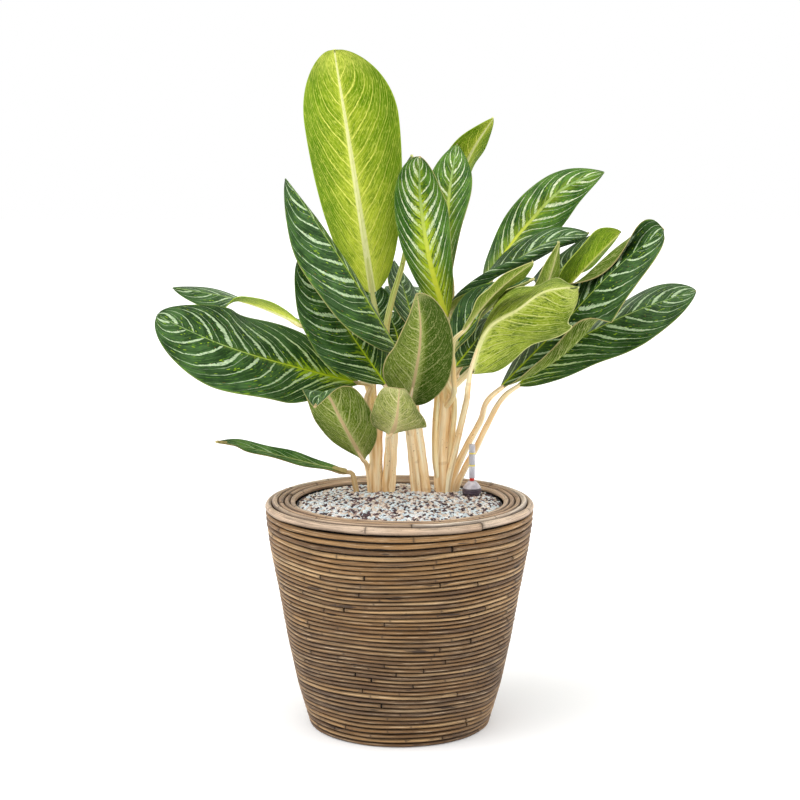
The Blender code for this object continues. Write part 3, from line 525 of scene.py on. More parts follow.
@dataclass(frozen=True)
class UpperFinish:
    """Upper side of a blade: dark green with ragged silvery stripes along its side veins."""

    name: str
    stripes: float = 8.0
    phase: float = 0.0
    strength: float = 1.0
    lime: float = 0.5
    rib: float = 0.0012
    rib_pale: Colour = screen(186, 206, 34)
    deep: Colour = screen(34, 64, 22)
    leaf: Colour = screen(66, 100, 50)
    stripe: Colour = screen(196, 216, 174)
    heart: Colour = screen(140, 172, 30)
    spread: float = 0.0
    slant: float = 0.16
    bow: float = 0.17

    def material(self) -> Material:
        """Stripes follow the UV map "blade" (across, along); "span" is the same in metres.

        Returns:
            The material.
        """
        nodes = Nodes(self.name)
        along, lateral, reach, side, warp, start = blade_places(nodes, self.slant, self.bow)
        wave = start * self.stripes + warp * 0.46 + side * 0.43 + self.phase
        number = wave.floor()
        part = wave.fract()
        luck = nodes.chance(number, side, self.phase)
        swell = nodes.flow((number * 3.7 + side * 9, reach * 2.6, self.phase), 1.0)
        tooth = nodes.flow((wave * 6, reach * 24, side * 7 + self.phase), 3.0, 0.7)
        fade = reach.rise(-0.02, 0.10) * (1 - reach.rise(0.40, 0.98) * 0.88)
        width = (0.040 + luck * 0.078) * fade * (0.35 + swell * 1.3) * self.strength
        gap = part - 0.5
        rag = (tooth - 0.47) * 3.4
        edge = width * (1.0 + rag * (0.40 + gap.over(0.0) * 0.70)) - abs(gap)
        thick = edge.rise(-0.010, 0.014)
        wander = nodes.flow((number * 2.3, reach * 5, side * 4 + 20), 1.0)
        beside = abs(part - (0.04 + wander * 0.16))
        keen = (tooth * 0.040 - 0.004) * fade
        thin = (keen - beside).rise(-0.010, 0.010) * luck.over(0.2)
        pale = thick.largest(thin * 0.75)
        pale = pale * nodes.flow((wave * 7, reach * 15, side), 2.0).rise(0.22, 0.46)

        broad = nodes.noise(nodes.place(), 42.0, 3.0)
        coat = Coat(nodes, nodes.mix(broad.rise(0.35, 0.66), self.deep, self.leaf))
        grain = nodes.flow((wave * 9, reach * 3.0, side * 5), 4.0, 0.68)
        coat.lay(grain.rise(0.52, 0.38) * 0.75, screen(20, 44, 8))
        coat.lay(grain.rise(0.55, 0.68) * 0.50, screen(106, 140, 80))
        mottle = nodes.flow((wave * 6, reach * 9, 4.0 + side), 3.0, 0.66)
        coat.lay(mottle.rise(0.57, 0.66) * 0.66, screen(88, 138, 30))
        base = (1 - along).rise(0.45, 1.0)
        inner = (1 - along + self.spread).rise(0.15, 0.85)
        middle = (1 - reach).rise(0.45, 1.0) * inner
        zone = base * 0.75 + middle * 0.62
        patch = nodes.flow((wave * 4.5, reach * 2.6, side + 8), 4.0, 0.72)
        lit = (zone * (0.5 + 0.3 * self.lime) + (patch - 0.5) * 2.6).rise(0.62, 0.88)
        coat.lay(zone.clamp() * 0.55 * min(1.0, self.lime), screen(20, 58, 4))
        coat.lay(lit * self.lime, screen(150, 180, 28))
        silver = nodes.mix(tooth.rise(0.30, 0.60), screen(146, 176, 134), self.stripe)
        silver = nodes.mix(base * 0.5 * min(1.0, self.lime), silver, screen(196, 214, 96))
        coat.lay(pale, silver)
        fleck = nodes.cells(nodes.vector(wave * 9, reach * 16, side * 3), 1.0)
        picked = nodes.split(fleck.outputs["Color"])[0].over(0.90)
        dot = Value(nodes, fleck.outputs["Distance"]).rise(0.42, 0.26) * picked
        coat.lay(dot * 0.8, screen(156, 190, 30))
        rust = nodes.cells(nodes.vector(wave * 14, reach * 30, side + 11), 1.0)
        rusty = nodes.split(rust.outputs["Color"])[1].over(0.990)
        coat.lay(Value(nodes, rust.outputs["Distance"]).rise(0.4, 0.2) * rusty, screen(150, 92, 40))
        edge_line = reach.rise(0.960, 0.995)
        coat.lay(edge_line * 0.7, screen(116, 142, 62))
        breadth = (1 - along) ** 0.7 * self.rib + 0.0004
        rib = (1 - abs(lateral) / breadth).rise(0.0, 0.5)
        broken = nodes.flow((0.0, along * 34, 2.0), 2.0).rise(0.34, 0.5)
        rib_tone = nodes.mix(along.rise(0.20, 0.90), self.rib_pale, screen(150, 182, 110))
        glow = (1 - abs(lateral) / (breadth * 5)).clamp() * inner * self.lime
        coat.lay(glow * patch.rise(0.38, 0.56), self.heart)
        coat.lay(rib * (broken * along + 1 - along), rib_tone)
        relief = abs(gap) * 0.7 + grain * 0.25 + pale * 0.20 - rib * 0.6
        return nodes.finish({"Specular IOR Level": 0.16}, colour=coat.colour,
                            roughness=(0.42 + grain * 0.14 + pale * 0.06), normal=nodes.bump(relief, 0.0012))


@dataclass(frozen=True)
class UnderFinish:
    """Underside of a blade: pale raised midrib, arching veins, a fine net and dark mottles, with painted
    shade over one half where half is set.
    """

    name: str
    light: Colour
    mid: Colour
    dark: Colour
    vein: Colour
    rib_tone: Colour
    margin: Colour
    veins: float = 9.0
    phase: float = 0.0
    mottle: float = 0.6
    rib: float = 0.0040
    web: float = 0.35
    # share of painted shade over one half of the blade
    half: float = 0.0
    slant: float = 0.20
    bow: float = 0.20

    def material(self) -> Material:
        """Veins follow the UV map "blade"; the midrib's width is in metres from "span".

        Returns:
            The material.
        """
        nodes = Nodes(self.name)
        along, lateral, reach, side, warp, start = blade_places(nodes, self.slant, self.bow)
        wave = start * self.veins + warp * 0.42 + side * 0.4 + self.phase
        gap = abs(wave.fract() - 0.5)
        luck = nodes.chance(wave.floor(), side, self.phase + 3)
        grit = nodes.flow((wave * 7, reach * 22, side), 2.0, 0.6)
        fade = 1 - reach.rise(0.45, 1.0) * 0.65
        width = (0.040 + luck * 0.034) * (0.30 + grit * 1.4) * (1.2 - reach * 0.7)
        vein = (width - gap).rise(-0.012, 0.014) * fade
        finer = abs((wave * 3 + warp).fract() - 0.5)
        second = (grit * 0.16 - 0.03 - finer).rise(-0.04, 0.05)
        place = nodes.place()
        cloud = nodes.noise(place, 36.0, 3.0, 0.6)
        near = (1 - reach) ** 1.7 * (1.55 - along * 0.95)
        near = near * 0.85 + (1 - along).rise(0.5, 0.9) * 0.55 + (cloud - 0.5) * 1.5
        coat = Coat(nodes, nodes.mix(near.clamp(), self.mid, self.light))
        rim = reach.rise(0.40, 1.0) * nodes.noise(place, 20.0, 2.0).rise(0.35, 0.62)
        # painted shade over one half, joined with the real darker green towards the margin
        half = reach.rise(0.0, 0.35) * (1 - side) * self.half
        coat.lay(half.largest(rim * 0.8), self.dark)
        fine = nodes.flow((wave * 15, reach * 6, side * 3), 3.0, 0.66)
        coat.lay(fine.rise(0.53, 0.38) * 0.62, self.dark)
        blot = nodes.flow((wave * 2.4, reach * 5, side * 2 + self.phase), 4.0, 0.7)
        coat.lay(blot.rise(0.51, 0.61) * self.mottle, self.dark)
        speck = nodes.flow((wave * 11, reach * 20, side * 9), 2.0, 0.62)
        coat.lay(speck.rise(0.58, 0.66) * 0.60, self.vein)
        mesh = {"Vector": nodes.vector(wave * 5, reach * 6 + warp * 2, side * 5), "Scale": 1.0}
        net = nodes.number("ShaderNodeTexVoronoi", {"feature": "DISTANCE_TO_EDGE"}, mesh, "Distance")
        # veins fade under the painted shade of that half
        plain = 1 - (1 - side) * self.half * 0.6
        coat.lay(net.rise(0.10, 0.02) * fine.rise(0.40, 0.60) * self.web * plain, self.vein)
        coat.lay((second * 0.5 * plain).clamp(), self.vein)
        coat.lay(vein * (0.45 + speck.rise(0.36, 0.56) * 0.5) * plain, self.vein)
        breadth = (1 - along) ** 0.75 * self.rib + 0.0005
        glow = (1 - abs(lateral) / (breadth * 3.0)).clamp() * speck.rise(0.30, 0.60) * 0.8
        tip = along.rise(0.86, 0.97) * speck.rise(0.38, 0.58) * 0.6
        coat.lay(glow.largest(tip), self.vein)
        rib = (1 - abs(lateral) / breadth).rise(0.05, 0.45)
        streak = nodes.flow((lateral * 2200, along * 5, 1.0), 2.0)
        coat.lay(rib, nodes.mix(streak.rise(0.35, 0.65) * 0.35, self.rib_tone, self.light))
        coat.lay(reach.rise(0.965, 0.995), self.margin)
        relief = vein * 0.8 + second * 0.2 + fine * 0.15
        return nodes.finish({"Specular IOR Level": 0.04}, colour=coat.colour, roughness=0.50 + fine * 0.14,
                            normal=nodes.bump(relief, 0.0008))


class Side(Enum):
    """How the upper side of a blade looks."""

    STRIPED = "striped"
    VEINED = "veined"
    DRY = "dry"


class Under(Enum):
    """How the underside of a blade looks."""

    LIME = "lime"
    PALE = "pale"
    SPOTTED = "spotted"
    OLIVE = "olive"
    SHADED = "shaded"
    SPECKLED = "speckled"
    LIGHT = "light"
    DRY = "dry"


def tones(light: Colour, mid: Colour, dark: Colour, vein: Colour, rib_tone: Colour, margin: Colour,
          **rest: float) -> dict[str, object]:
    """What an underside has of its own: screen colours from light to margin, then other numbers."""
    colours = dict(light=light, mid=mid, dark=dark, vein=vein, rib_tone=rib_tone, margin=margin)
    return {name: screen(*colour) for name, colour in colours.items()} | rest


# What the upper and the undersides of the leaves have of their own
UPPERSIDES = {
    Side.STRIPED: {},
    Side.VEINED: dict(deep=screen(50, 94, 20), leaf=screen(98, 142, 46), stripe=screen(236, 243, 204),
                      heart=screen(192, 212, 38), rib=0.0044, rib_pale=screen(226, 232, 70), spread=0.35),
    Side.DRY: dict(deep=screen(52, 96, 34), leaf=screen(104, 146, 72), stripe=screen(168, 190, 146),
                   rib_pale=screen(176, 190, 120)),
}
# Dark green, veins, midrib and margin of the olive undersides
OLIVE = ((50, 78, 2), (196, 200, 130), (206, 178, 138), (176, 164, 112))
UNDERSIDES = {
    # the lime and pale tones are the underside's own light green, brightened as painted light shining through
    # the blade
    Under.LIME: tones((182, 196, 56), (98, 136, 0), (72, 112, 0), (226, 231, 104), (232, 231, 168),
                      (150, 176, 48), mottle=0.55, web=0.26),
    Under.PALE: tones((162, 176, 60), (122, 144, 20), (60, 90, 0), (208, 214, 124), (222, 220, 158),
                      (206, 208, 140), mottle=1.0, web=0.40, rib=0.0024),
    Under.SPOTTED: tones((128, 158, 22), (102, 136, 6), (54, 88, 0), (172, 188, 66), (206, 204, 120),
                         (160, 176, 70), mottle=1.0, web=0.55, rib=0.0024),
    # half: painted shade over one half of the underside, fully on the centre leaf
    Under.OLIVE: tones((124, 142, 52), (88, 114, 20), *OLIVE, mottle=0.5, web=0.6, rib=0.0026, half=0.25),
    Under.SHADED: tones((124, 142, 52), (88, 114, 20), *OLIVE, mottle=0.5, web=0.6, rib=0.0026, half=1.0),
    Under.SPECKLED: tones((176, 180, 104), (142, 152, 68), OLIVE[0], (222, 216, 158), *OLIVE[2:], mottle=0.5,
                          web=0.6, rib=0.0026),
    Under.LIGHT: tones((152, 170, 66), (106, 134, 24), (70, 102, 4), (200, 206, 124), (214, 206, 148),
                       (186, 184, 118), mottle=0.6, web=0.5, rib=0.0028),
    Under.DRY: tones((150, 150, 88), (120, 128, 62), (84, 92, 34), (180, 176, 120), (190, 170, 116),
                     (150, 130, 80), mottle=0.5, rib=0.0020),
}


@dataclass(frozen=True)
class Blade:
    """One leaf: its midrib, outline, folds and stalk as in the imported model, and its looks.

    Its lengths are in millimetres and its angles in degrees.
    """

    path: Sequence[Point]
    width: float
    face: Point
    face_tip: Point
    fold_a: tuple[float, float]
    fold_b: tuple[float, float]
    shape: tuple[float, float, float]
    cup: float
    group: str
    stalk: Sequence[Point]
    root: float
    roll: tuple[float, float] = (0, 0)
    roll_from: tuple[float, float] = (0.5, 0.5)
    roll_along: tuple[tuple[float, float], tuple[float, float]] = ((0, 1), (0, 1))
    wave: float = 1.5
    halves: tuple[Sequence[float], Sequence[float]] = ((1, 1, 1, 1, 1), (1, 1, 1, 1, 1))
    side: Side = Side.STRIPED
    under: Under = Under.OLIVE
    stripes: float = 7.0
    phase: float = 0.0
    strength: float = 1.0
    lime: float = 0.5
    green: float = 0.0


# Each leaf: midrib points from root to tip, full width, way the upper side faces at root and tip,
# fold of each half (at root, at tip), outline (widest at, root power, tip power), cup, the stalk
# group, stalk points and stalk radius at the start, then what else differs and how it looks.
BLADES = {
    "tall": Blade(
        ((-30, 32, 480), (-50, 18, 613), (-69, -24, 742)), 124, (-0.12, 0.99, 0.11), (0, 0.99, 0.13),
        (19, 7), (32, 33), (0.67, 0.45, 0.57), 19, "left", ((-7.5, 36, 355), (-12, 46, 400)), 5,
        under=Under.LIME, stripes=11, green=0.75),
    "left_upper": Blade(
        ((-4, -4, 422), (-60, -45, 517), (-121, -41, 607)), 107, (0.75, -0.41, 0.52), (0.66, -0.55, 0.51),
        (9, -21), (-11, -22), (0.45, 0.54, 0.84), -24, "left", ((-8.5, 38, 340), (0, 22, 380)), 4.5,
        stripes=10, phase=0.3, strength=1.15),
    "left_mid": Blade(
        ((-16, -12, 383), (-60, -3, 446), (-109, -13, 521)), 93, (0.18, -0.8, 0.57), (0.3, -0.72, 0.62),
        (20, -6), (8, -35), (0.42, 0.72, 0.67), -29, "left", ((-27.2, 44, 330), (-20, 22, 360)), 4.5,
        stripes=9, phase=0.65, lime=0.6),
    "left_large": Blade(
        ((-47, 33, 378), (-111, 20, 396), (-190, -21, 426), (-262, -29, 460)), 114, (-0.06, -0.76, 0.64),
        (-0.31, -0.6, 0.73), (11, -4), (21, -1), (0.53, 0.77, 0.5), -16, "left",
        ((-27.2, 44, 330), (-36, 40, 362)), 4.5, stripes=11, phase=0.1, lime=1, strength=1.25),
    "left_back": Blade(
        ((-110, 51, 442), (-192, 134, 463), (-264, 124, 477)), 74, (0, 0.55, 0.83), (0.4, -0.72, 0.57),
        (39, -10), (19, -30), (0.43, 0.73, 0.76), -13, "left", ((-27.2, 45, 335), (-50, 62, 400)), 3.6,
        under=Under.LIME, stripes=8, phase=0.4, lime=0.6, green=0.5),
    "low_left": Blade(
        ((-41, 33, 292), (-62, -20, 342), (-78, -38, 376), (-89, -90, 369)), 69, (0, 0.89, 0.46),
        (0.07, 0.86, 0.5), (4, 5), (22, 26), (0.45, 0.72, 0.8), -7, "left", ((-33, 44, 250),), 3.4,
        stripes=7, phase=0.2),
    "low_centre": Blade(
        ((-10, -14, 329), (-3, -55, 353), (0, -74, 387)), 57, (-0.15, 0.93, 0.33), (0, 0.95, 0.3), (4, 10),
        (14, 14), (0.5, 0.4, 0.16), -2, "left", ((-14, 40, 262), (-12, 26, 295)), 4,
        halves=((0.9, 1.45, 1.05, 0.72, 0.35), (1, 1, 1, 0.95, 0.9)), under=Under.SPECKLED, stripes=6,
        phase=0.5),
    "centre": Blade(
        ((11, -7, 361), (21, -56, 427), (17, -147, 494)), 77, (0.17, 0.9, 0.4), (-0.39, 0.88, 0.28),
        (-16, 9), (-1, -19), (0.32, 0.54, 0.65), -22, "centre", ((12.5, 39, 318), (10, 22, 340)), 4.5,
        under=Under.SHADED, stripes=8, phase=0.7),
    "upright": Blade(
        ((52, 25, 453), (34, 9, 515), (23, 7, 583), (22, -32, 630)), 62, (-0.29, -0.95, 0.08),
        (-0.21, -0.98, 0), (0, 4), (15, 16), (0.61, 0.62, 0.56), -11, "right",
        ((46, 46, 250), (40.8, 41, 285), (42.5, 38, 362), (49, 36, 410)), 3.5, side=Side.VEINED, stripes=12,
        phase=0.35, lime=1.15, strength=1.7, green=0.3),
    "upright_back": Blade(
        ((58, 59, 483), (55, 73, 566), (66, 117, 642)), 58, (-0.43, -0.89, 0.15), (0.07, -0.98, 0.16),
        (10, 1), (62, 7), (0.56, 0.77, 0.75), -3, "right", ((54, 42, 372), (58, 60, 430)), 3.6,
        side=Side.VEINED, stripes=9, phase=0.15, lime=0.4, green=0.4),
    "right_tip_up": Blade(
        ((61, 174, 539), (78, 140, 623), (107, 115, 672)), 62, (-0.59, 0.78, 0.21), (-0.54, 0.81, 0.21),
        (44, 10), (33, 7), (0.45, 0.75, 0.78), 0, "right", ((54, 42, 372), (62, 92, 420), (56, 148, 480)),
        3.6, under=Under.LIME, stripes=8, phase=0.25, green=0.5),
    "right_upper": Blade(
        ((101, 96, 486), (150, 154, 548), (194, 146, 593), (238, 143, 610)), 72, (-0.79, -0.55, 0.27),
        (-0.3, -0.9, 0.31), (15, -13), (39, -22), (0.52, 0.57, 0.8), -14, "right",
        ((54, 42, 372), (76, 88, 425)), 3.6, side=Side.VEINED, stripes=9, phase=0.55, lime=0.5,
        strength=1.2, green=0.3),
    "right_long": Blade(
        ((55, 42, 458), (118, 55, 505), (182, 73, 538), (215, 88, 542)), 70, (-0.45, 0.55, 0.7),
        (-0.3, -0.7, 0.62), (20, 10), (20, 10), (0.32, 0.6, 0.7), -6, "right",
        ((53.5, 41, 370), (46, 34, 415)), 3.6, roll=(0, -140), roll_from=(0.5, 0.58), under=Under.LIGHT,
        stripes=8, phase=0.8, lime=0.4, green=0.4),
    "right_small": Blade(
        ((68, -50, 448), (98, -64, 486), (138, -101, 523)), 50, (-0.54, 0.41, 0.74), (-0.39, 0.61, 0.69),
        (24, 5), (-8, 3), (0.47, 0.75, 0.72), -13, "right", ((52, 41, 350), (60, 0, 372), (58, -38, 405)),
        3.4, under=Under.LIGHT, stripes=7, phase=0.35, green=0.3),
    "right_fold": Blade(
        ((57, -7, 416.5), (94, 6, 460.5), (146, -18, 498.5)), 65, (-0.25, -0.34, 0.91), (-0.48, 0, 0.88),
        (59, 20), (18, 18), (0.46, 0.9, 0.8), 3, "right", ((52, 41, 350), (51, 22, 380)), 3.6,
        under=Under.LIGHT, stripes=7, phase=0.9, green=0.3),
    "right_curl": Blade(
        ((62, 18, 398), (81, 28, 420), (97, -1, 449)), 57, (-0.31, -0.68, 0.66), (-0.47, -0.71, 0.53),
        (-8, -4), (8, 15), (0.44, 0.68, 0.77), -15, "right",
        ((52, 48, 255), (59.2, 40, 315), (61, 30, 360)), 3.8, stripes=6, phase=0.45, green=0.2),
    "right_point": Blade(
        ((140, 31, 447), (160, 4, 490), (174, 0, 538)), 42, (-0.45, 0.83, 0.34), (-0.54, 0.76, 0.35),
        (18, 24), (-3, -9), (0.43, 0.75, 0.81), -12, "right", ((53.5, 41, 365), (90, 50, 400)), 3.2,
        under=Under.LIGHT, stripes=6, phase=0.6, green=0.3),
    "right_large": Blade(
        ((113, 4, 379), (174, 21, 438), (243, 1, 514), (285, -15, 551)), 118, (-0.45, -0.42, 0.79),
        (-0.22, -0.5, 0.84), (-15, 5), (-11, 10), (0.48, 0.7, 0.35), -14, "right",
        ((56, 46, 252), (65, 50, 278), (76, 51, 302), (90, 44, 330)), 4.6, roll=(195, 165),
        roll_from=(0.46, 0.62), roll_along=((0.42, 1), (0, 0.58)), stripes=10, phase=0.2, strength=1.1,
        lime=0.3),
    "right_far": Blade(
        ((133, 47, 374), (189, 66, 415), (263, 67, 453), (334, 58, 479)), 95, (-0.13, -0.42, 0.9),
        (-0.2, -0.66, 0.72), (-49, 7), (-14, 14), (0.65, 0.57, 0.67), -24, "right",
        ((64.5, 56, 252), (73, 61, 272), (87, 62, 298), (99, 60, 324)), 4.2, stripes=10, phase=0.75,
        lime=0.9, strength=1.2),
    "lime": Blade(
        ((77, -52, 400.5), (96, -68, 452.5), (123, -88, 471.5), (150, -108, 492.5), (183, -122, 498.5)),
        127, (0.16, 0.63, 0.76), (0.16, 0.95, 0.25), (16, 5), (90, 105), (0.51, 0.3, 0.49), 11, "right",
        ((54, 44, 252), (63.5, 36, 305), (70, 16, 340), (74, -14, 368)), 4.2, wave=3, under=Under.PALE,
        stripes=9, phase=0.15, green=0.1),
    "lime_spot": Blade(
        ((159, 62, 451), (205, 57, 503), (252, 90, 544)), 76, (-0.62, 0.17, 0.76), (-0.73, 0.46, 0.5),
        (21, 4), (7, 33), (0.49, 0.74, 0.75), -5, "right", ((53.5, 41, 365), (100, 72, 402)), 3.4,
        under=Under.SPOTTED, stripes=8, phase=0.5, green=0.3),
    "right_dark": Blade(
        ((164, 87, 477), (199, 147, 506), (230, 154, 537)), 47, (-0.23, -0.78, 0.59), (-0.7, -0.62, 0.34),
        (18, -5), (29, 29), (0.34, 0.72, 0.64), -4, "right", ((54, 42, 372), (105, 74, 435)), 3.2,
        stripes=7, phase=0.85, green=0.3),
    "gap_upper": Blade(
        ((20, 74, 427.2), (6, 91, 472.2), (-6, 111, 509.5)), 68, (0.52, -0.79, 0.33), (0.57, -0.76, 0.32),
        (36, 28), (-12, -23), (0.44, 0.76, 0.79), -12, "centre", ((17, 41, 345), (22, 52, 385)), 3.6,
        stripes=7, phase=0.3, lime=0.9, green=0.3),
    "gap_left": Blade(
        ((-20, 80, 432), (-30, 90, 460), (-42, 100, 490)), 44, (0, -0.96, 0.29), (0, -0.96, 0.29), (12, 8),
        (12, 8), (0.45, 0.75, 0.8), -10, "left", ((-8, 37, 348), (-16, 62, 390)), 3.4, stripes=6, phase=0.6,
        lime=0.6, green=0.2),
    "gap_low": Blade(
        ((1, 100, 405), (-4, 110, 427), (-13, 120, 449)), 60, (0, -0.96, 0.29), (0, -0.96, 0.29), (12, 8),
        (12, 8), (0.45, 0.75, 0.8), -10, "centre", ((12, 39, 325), (4, 72, 358)), 3.4, stripes=6, phase=0.1,
        lime=0.6, green=0.2),
    "withered": Blade(
        ((-61, 43, 275), (-124, 28, 293), (-181, 22, 309), (-202, -10, 318)), 22, (0.11, -0.48, 0.87),
        (0.18, -0.46, 0.87), (18, 15), (17, 16), (0.48, 0.53, 0.7), -5, "withered",
        ((-48, 46, 244), (-50.8, 45.5, 260)), 3.6, side=Side.DRY, under=Under.DRY, stripes=9, phase=0.4,
        lime=0.2),
    "back_left": Blade(
        ((-38, 100, 405), (-73, 170, 440), (-103, 255, 448)), 88, (-0.05, -0.45, 0.9), (-0.2, 0.25, 0.95),
        (16, 8), (16, 8), (0.45, 0.7, 0.8), -12, "left", ((-27.2, 45, 335), (-30, 68, 368)), 3.8, stripes=9,
        phase=0.35, lime=0.7),
    "back_mid": Blade(
        ((22, 135, 425), (24, 200, 462), (32, 285, 462)), 86, (0, -0.5, 0.87), (0.05, 0.25, 0.96), (16, 8),
        (16, 8), (0.45, 0.7, 0.8), -12, "centre", ((17, 41, 340), (20, 88, 385)), 3.8, stripes=9,
        phase=0.65, lime=0.7),
    "back_right": Blade(
        ((75, 105, 408), (108, 175, 438), (135, 255, 435)), 84, (0.05, -0.45, 0.9), (0.2, 0.25, 0.95),
        (16, 8), (16, 8), (0.45, 0.7, 0.8), -12, "right", ((52, 41, 345), (64, 70, 375)), 3.8, stripes=9,
        phase=0.05, lime=0.7),
    "back_low_left": Blade(
        ((-10, 125, 368), (-30, 195, 388), (-45, 285, 372)), 78, (-0.05, -0.3, 0.95), (-0.1, 0.35, 0.93),
        (16, 8), (16, 8), (0.45, 0.7, 0.8), -12, "centre", ((12, 40, 322), (4, 80, 345)), 3.6, stripes=8,
        phase=0.45, lime=0.6),
    "back_low_right": Blade(
        ((55, 125, 368), (74, 195, 392), (88, 280, 380)), 76, (0.05, -0.3, 0.95), (0.1, 0.35, 0.93),
        (16, 8), (16, 8), (0.45, 0.7, 0.8), -12, "right", ((51.5, 41, 335), (53, 78, 350)), 3.6, stripes=8,
        phase=0.95, lime=0.6),
    "back_up": Blade(
        ((6, 68, 527), (12, 82, 580), (14, 105, 630)), 36, (-0.2, -0.92, 0.35), (-0.1, -0.85, 0.5), (14, 8),
        (14, 8), (0.48, 0.7, 0.8), -12, "left",
        ((-10, 37, 345), (-16, 42, 400), (-13.5, 45, 447), (-8.4, 50, 470)), 4.6, under=Under.LIME,
        stripes=7, phase=0.25, lime=1, green=1),
}
# Thick canes of each group in millimetres: points from the crown up, radius at bottom and top
CANES = {
    "left": ((((-26.5, 47, 236), (-26.8, 47, 290), (-26.8, 44, 345)), 7, 7.2),
             (((-14, 46, 236), (-9.5, 42, 300), (-5.5, 36, 362)), 7.6, 6.2)),
    "centre": ((((21, 44, 236), (16, 42, 290), (11, 38, 335)), 6, 5.2),
               (((31.8, 46, 236), (25.5, 44, 290), (16.5, 41, 352)), 6, 5)),
    "right": ((((47.5, 47, 236), (48, 44, 305), (51.5, 41, 345), (54.5, 42, 378)), 7.4, 6.2),),
    "withered": (),
}


def unit(vectors: Array) -> Array:
    """Vectors scaled to length 1 along the last axis."""
    vectors = np.asarray(vectors, float)
    return vectors / np.maximum(np.linalg.norm(vectors, axis=-1, keepdims=True), 1e-12)


def smooth_path(points: Sequence[Point], shares: Array) -> Array:
    """Points on a smooth curve.

    Args:
        points: points that the curve passes through.
        shares: where to read it, as shares of its length.

    Returns:
        One point for each share.
    """
    points = np.asarray(points, float)
    knots = np.r_[0, np.cumsum(np.linalg.norm(np.diff(points, axis=0), axis=1))]
    knots /= knots[-1]
    spans = np.diff(knots)
    slopes = np.diff(points, axis=0) / spans[:, None]
    if len(points) == 2:
        return points[0] + np.asarray(shares)[:, None] * (points[1] - points[0])
    tangents = np.zeros_like(points)
    mixed = slopes[:-1] * spans[1:, None] + slopes[1:] * spans[:-1, None]
    tangents[1:-1] = mixed / (spans[:-1] + spans[1:])[:, None]
    tangents[0] = 1.5 * slopes[0] - 0.5 * tangents[1]
    tangents[-1] = 1.5 * slopes[-1] - 0.5 * tangents[-2]
    index = np.clip(np.searchsorted(knots, shares, side="right") - 1, 0, len(points) - 2)
    u = ((shares - knots[index]) / spans[index])[:, None]
    span = spans[index][:, None]
    return ((2 * u**3 - 3 * u**2 + 1) * points[index] + (u**3 - 2 * u**2 + u) * span * tangents[index]
            + (3 * u**2 - 2 * u**3) * points[index + 1] + (u**3 - u**2) * span * tangents[index + 1])


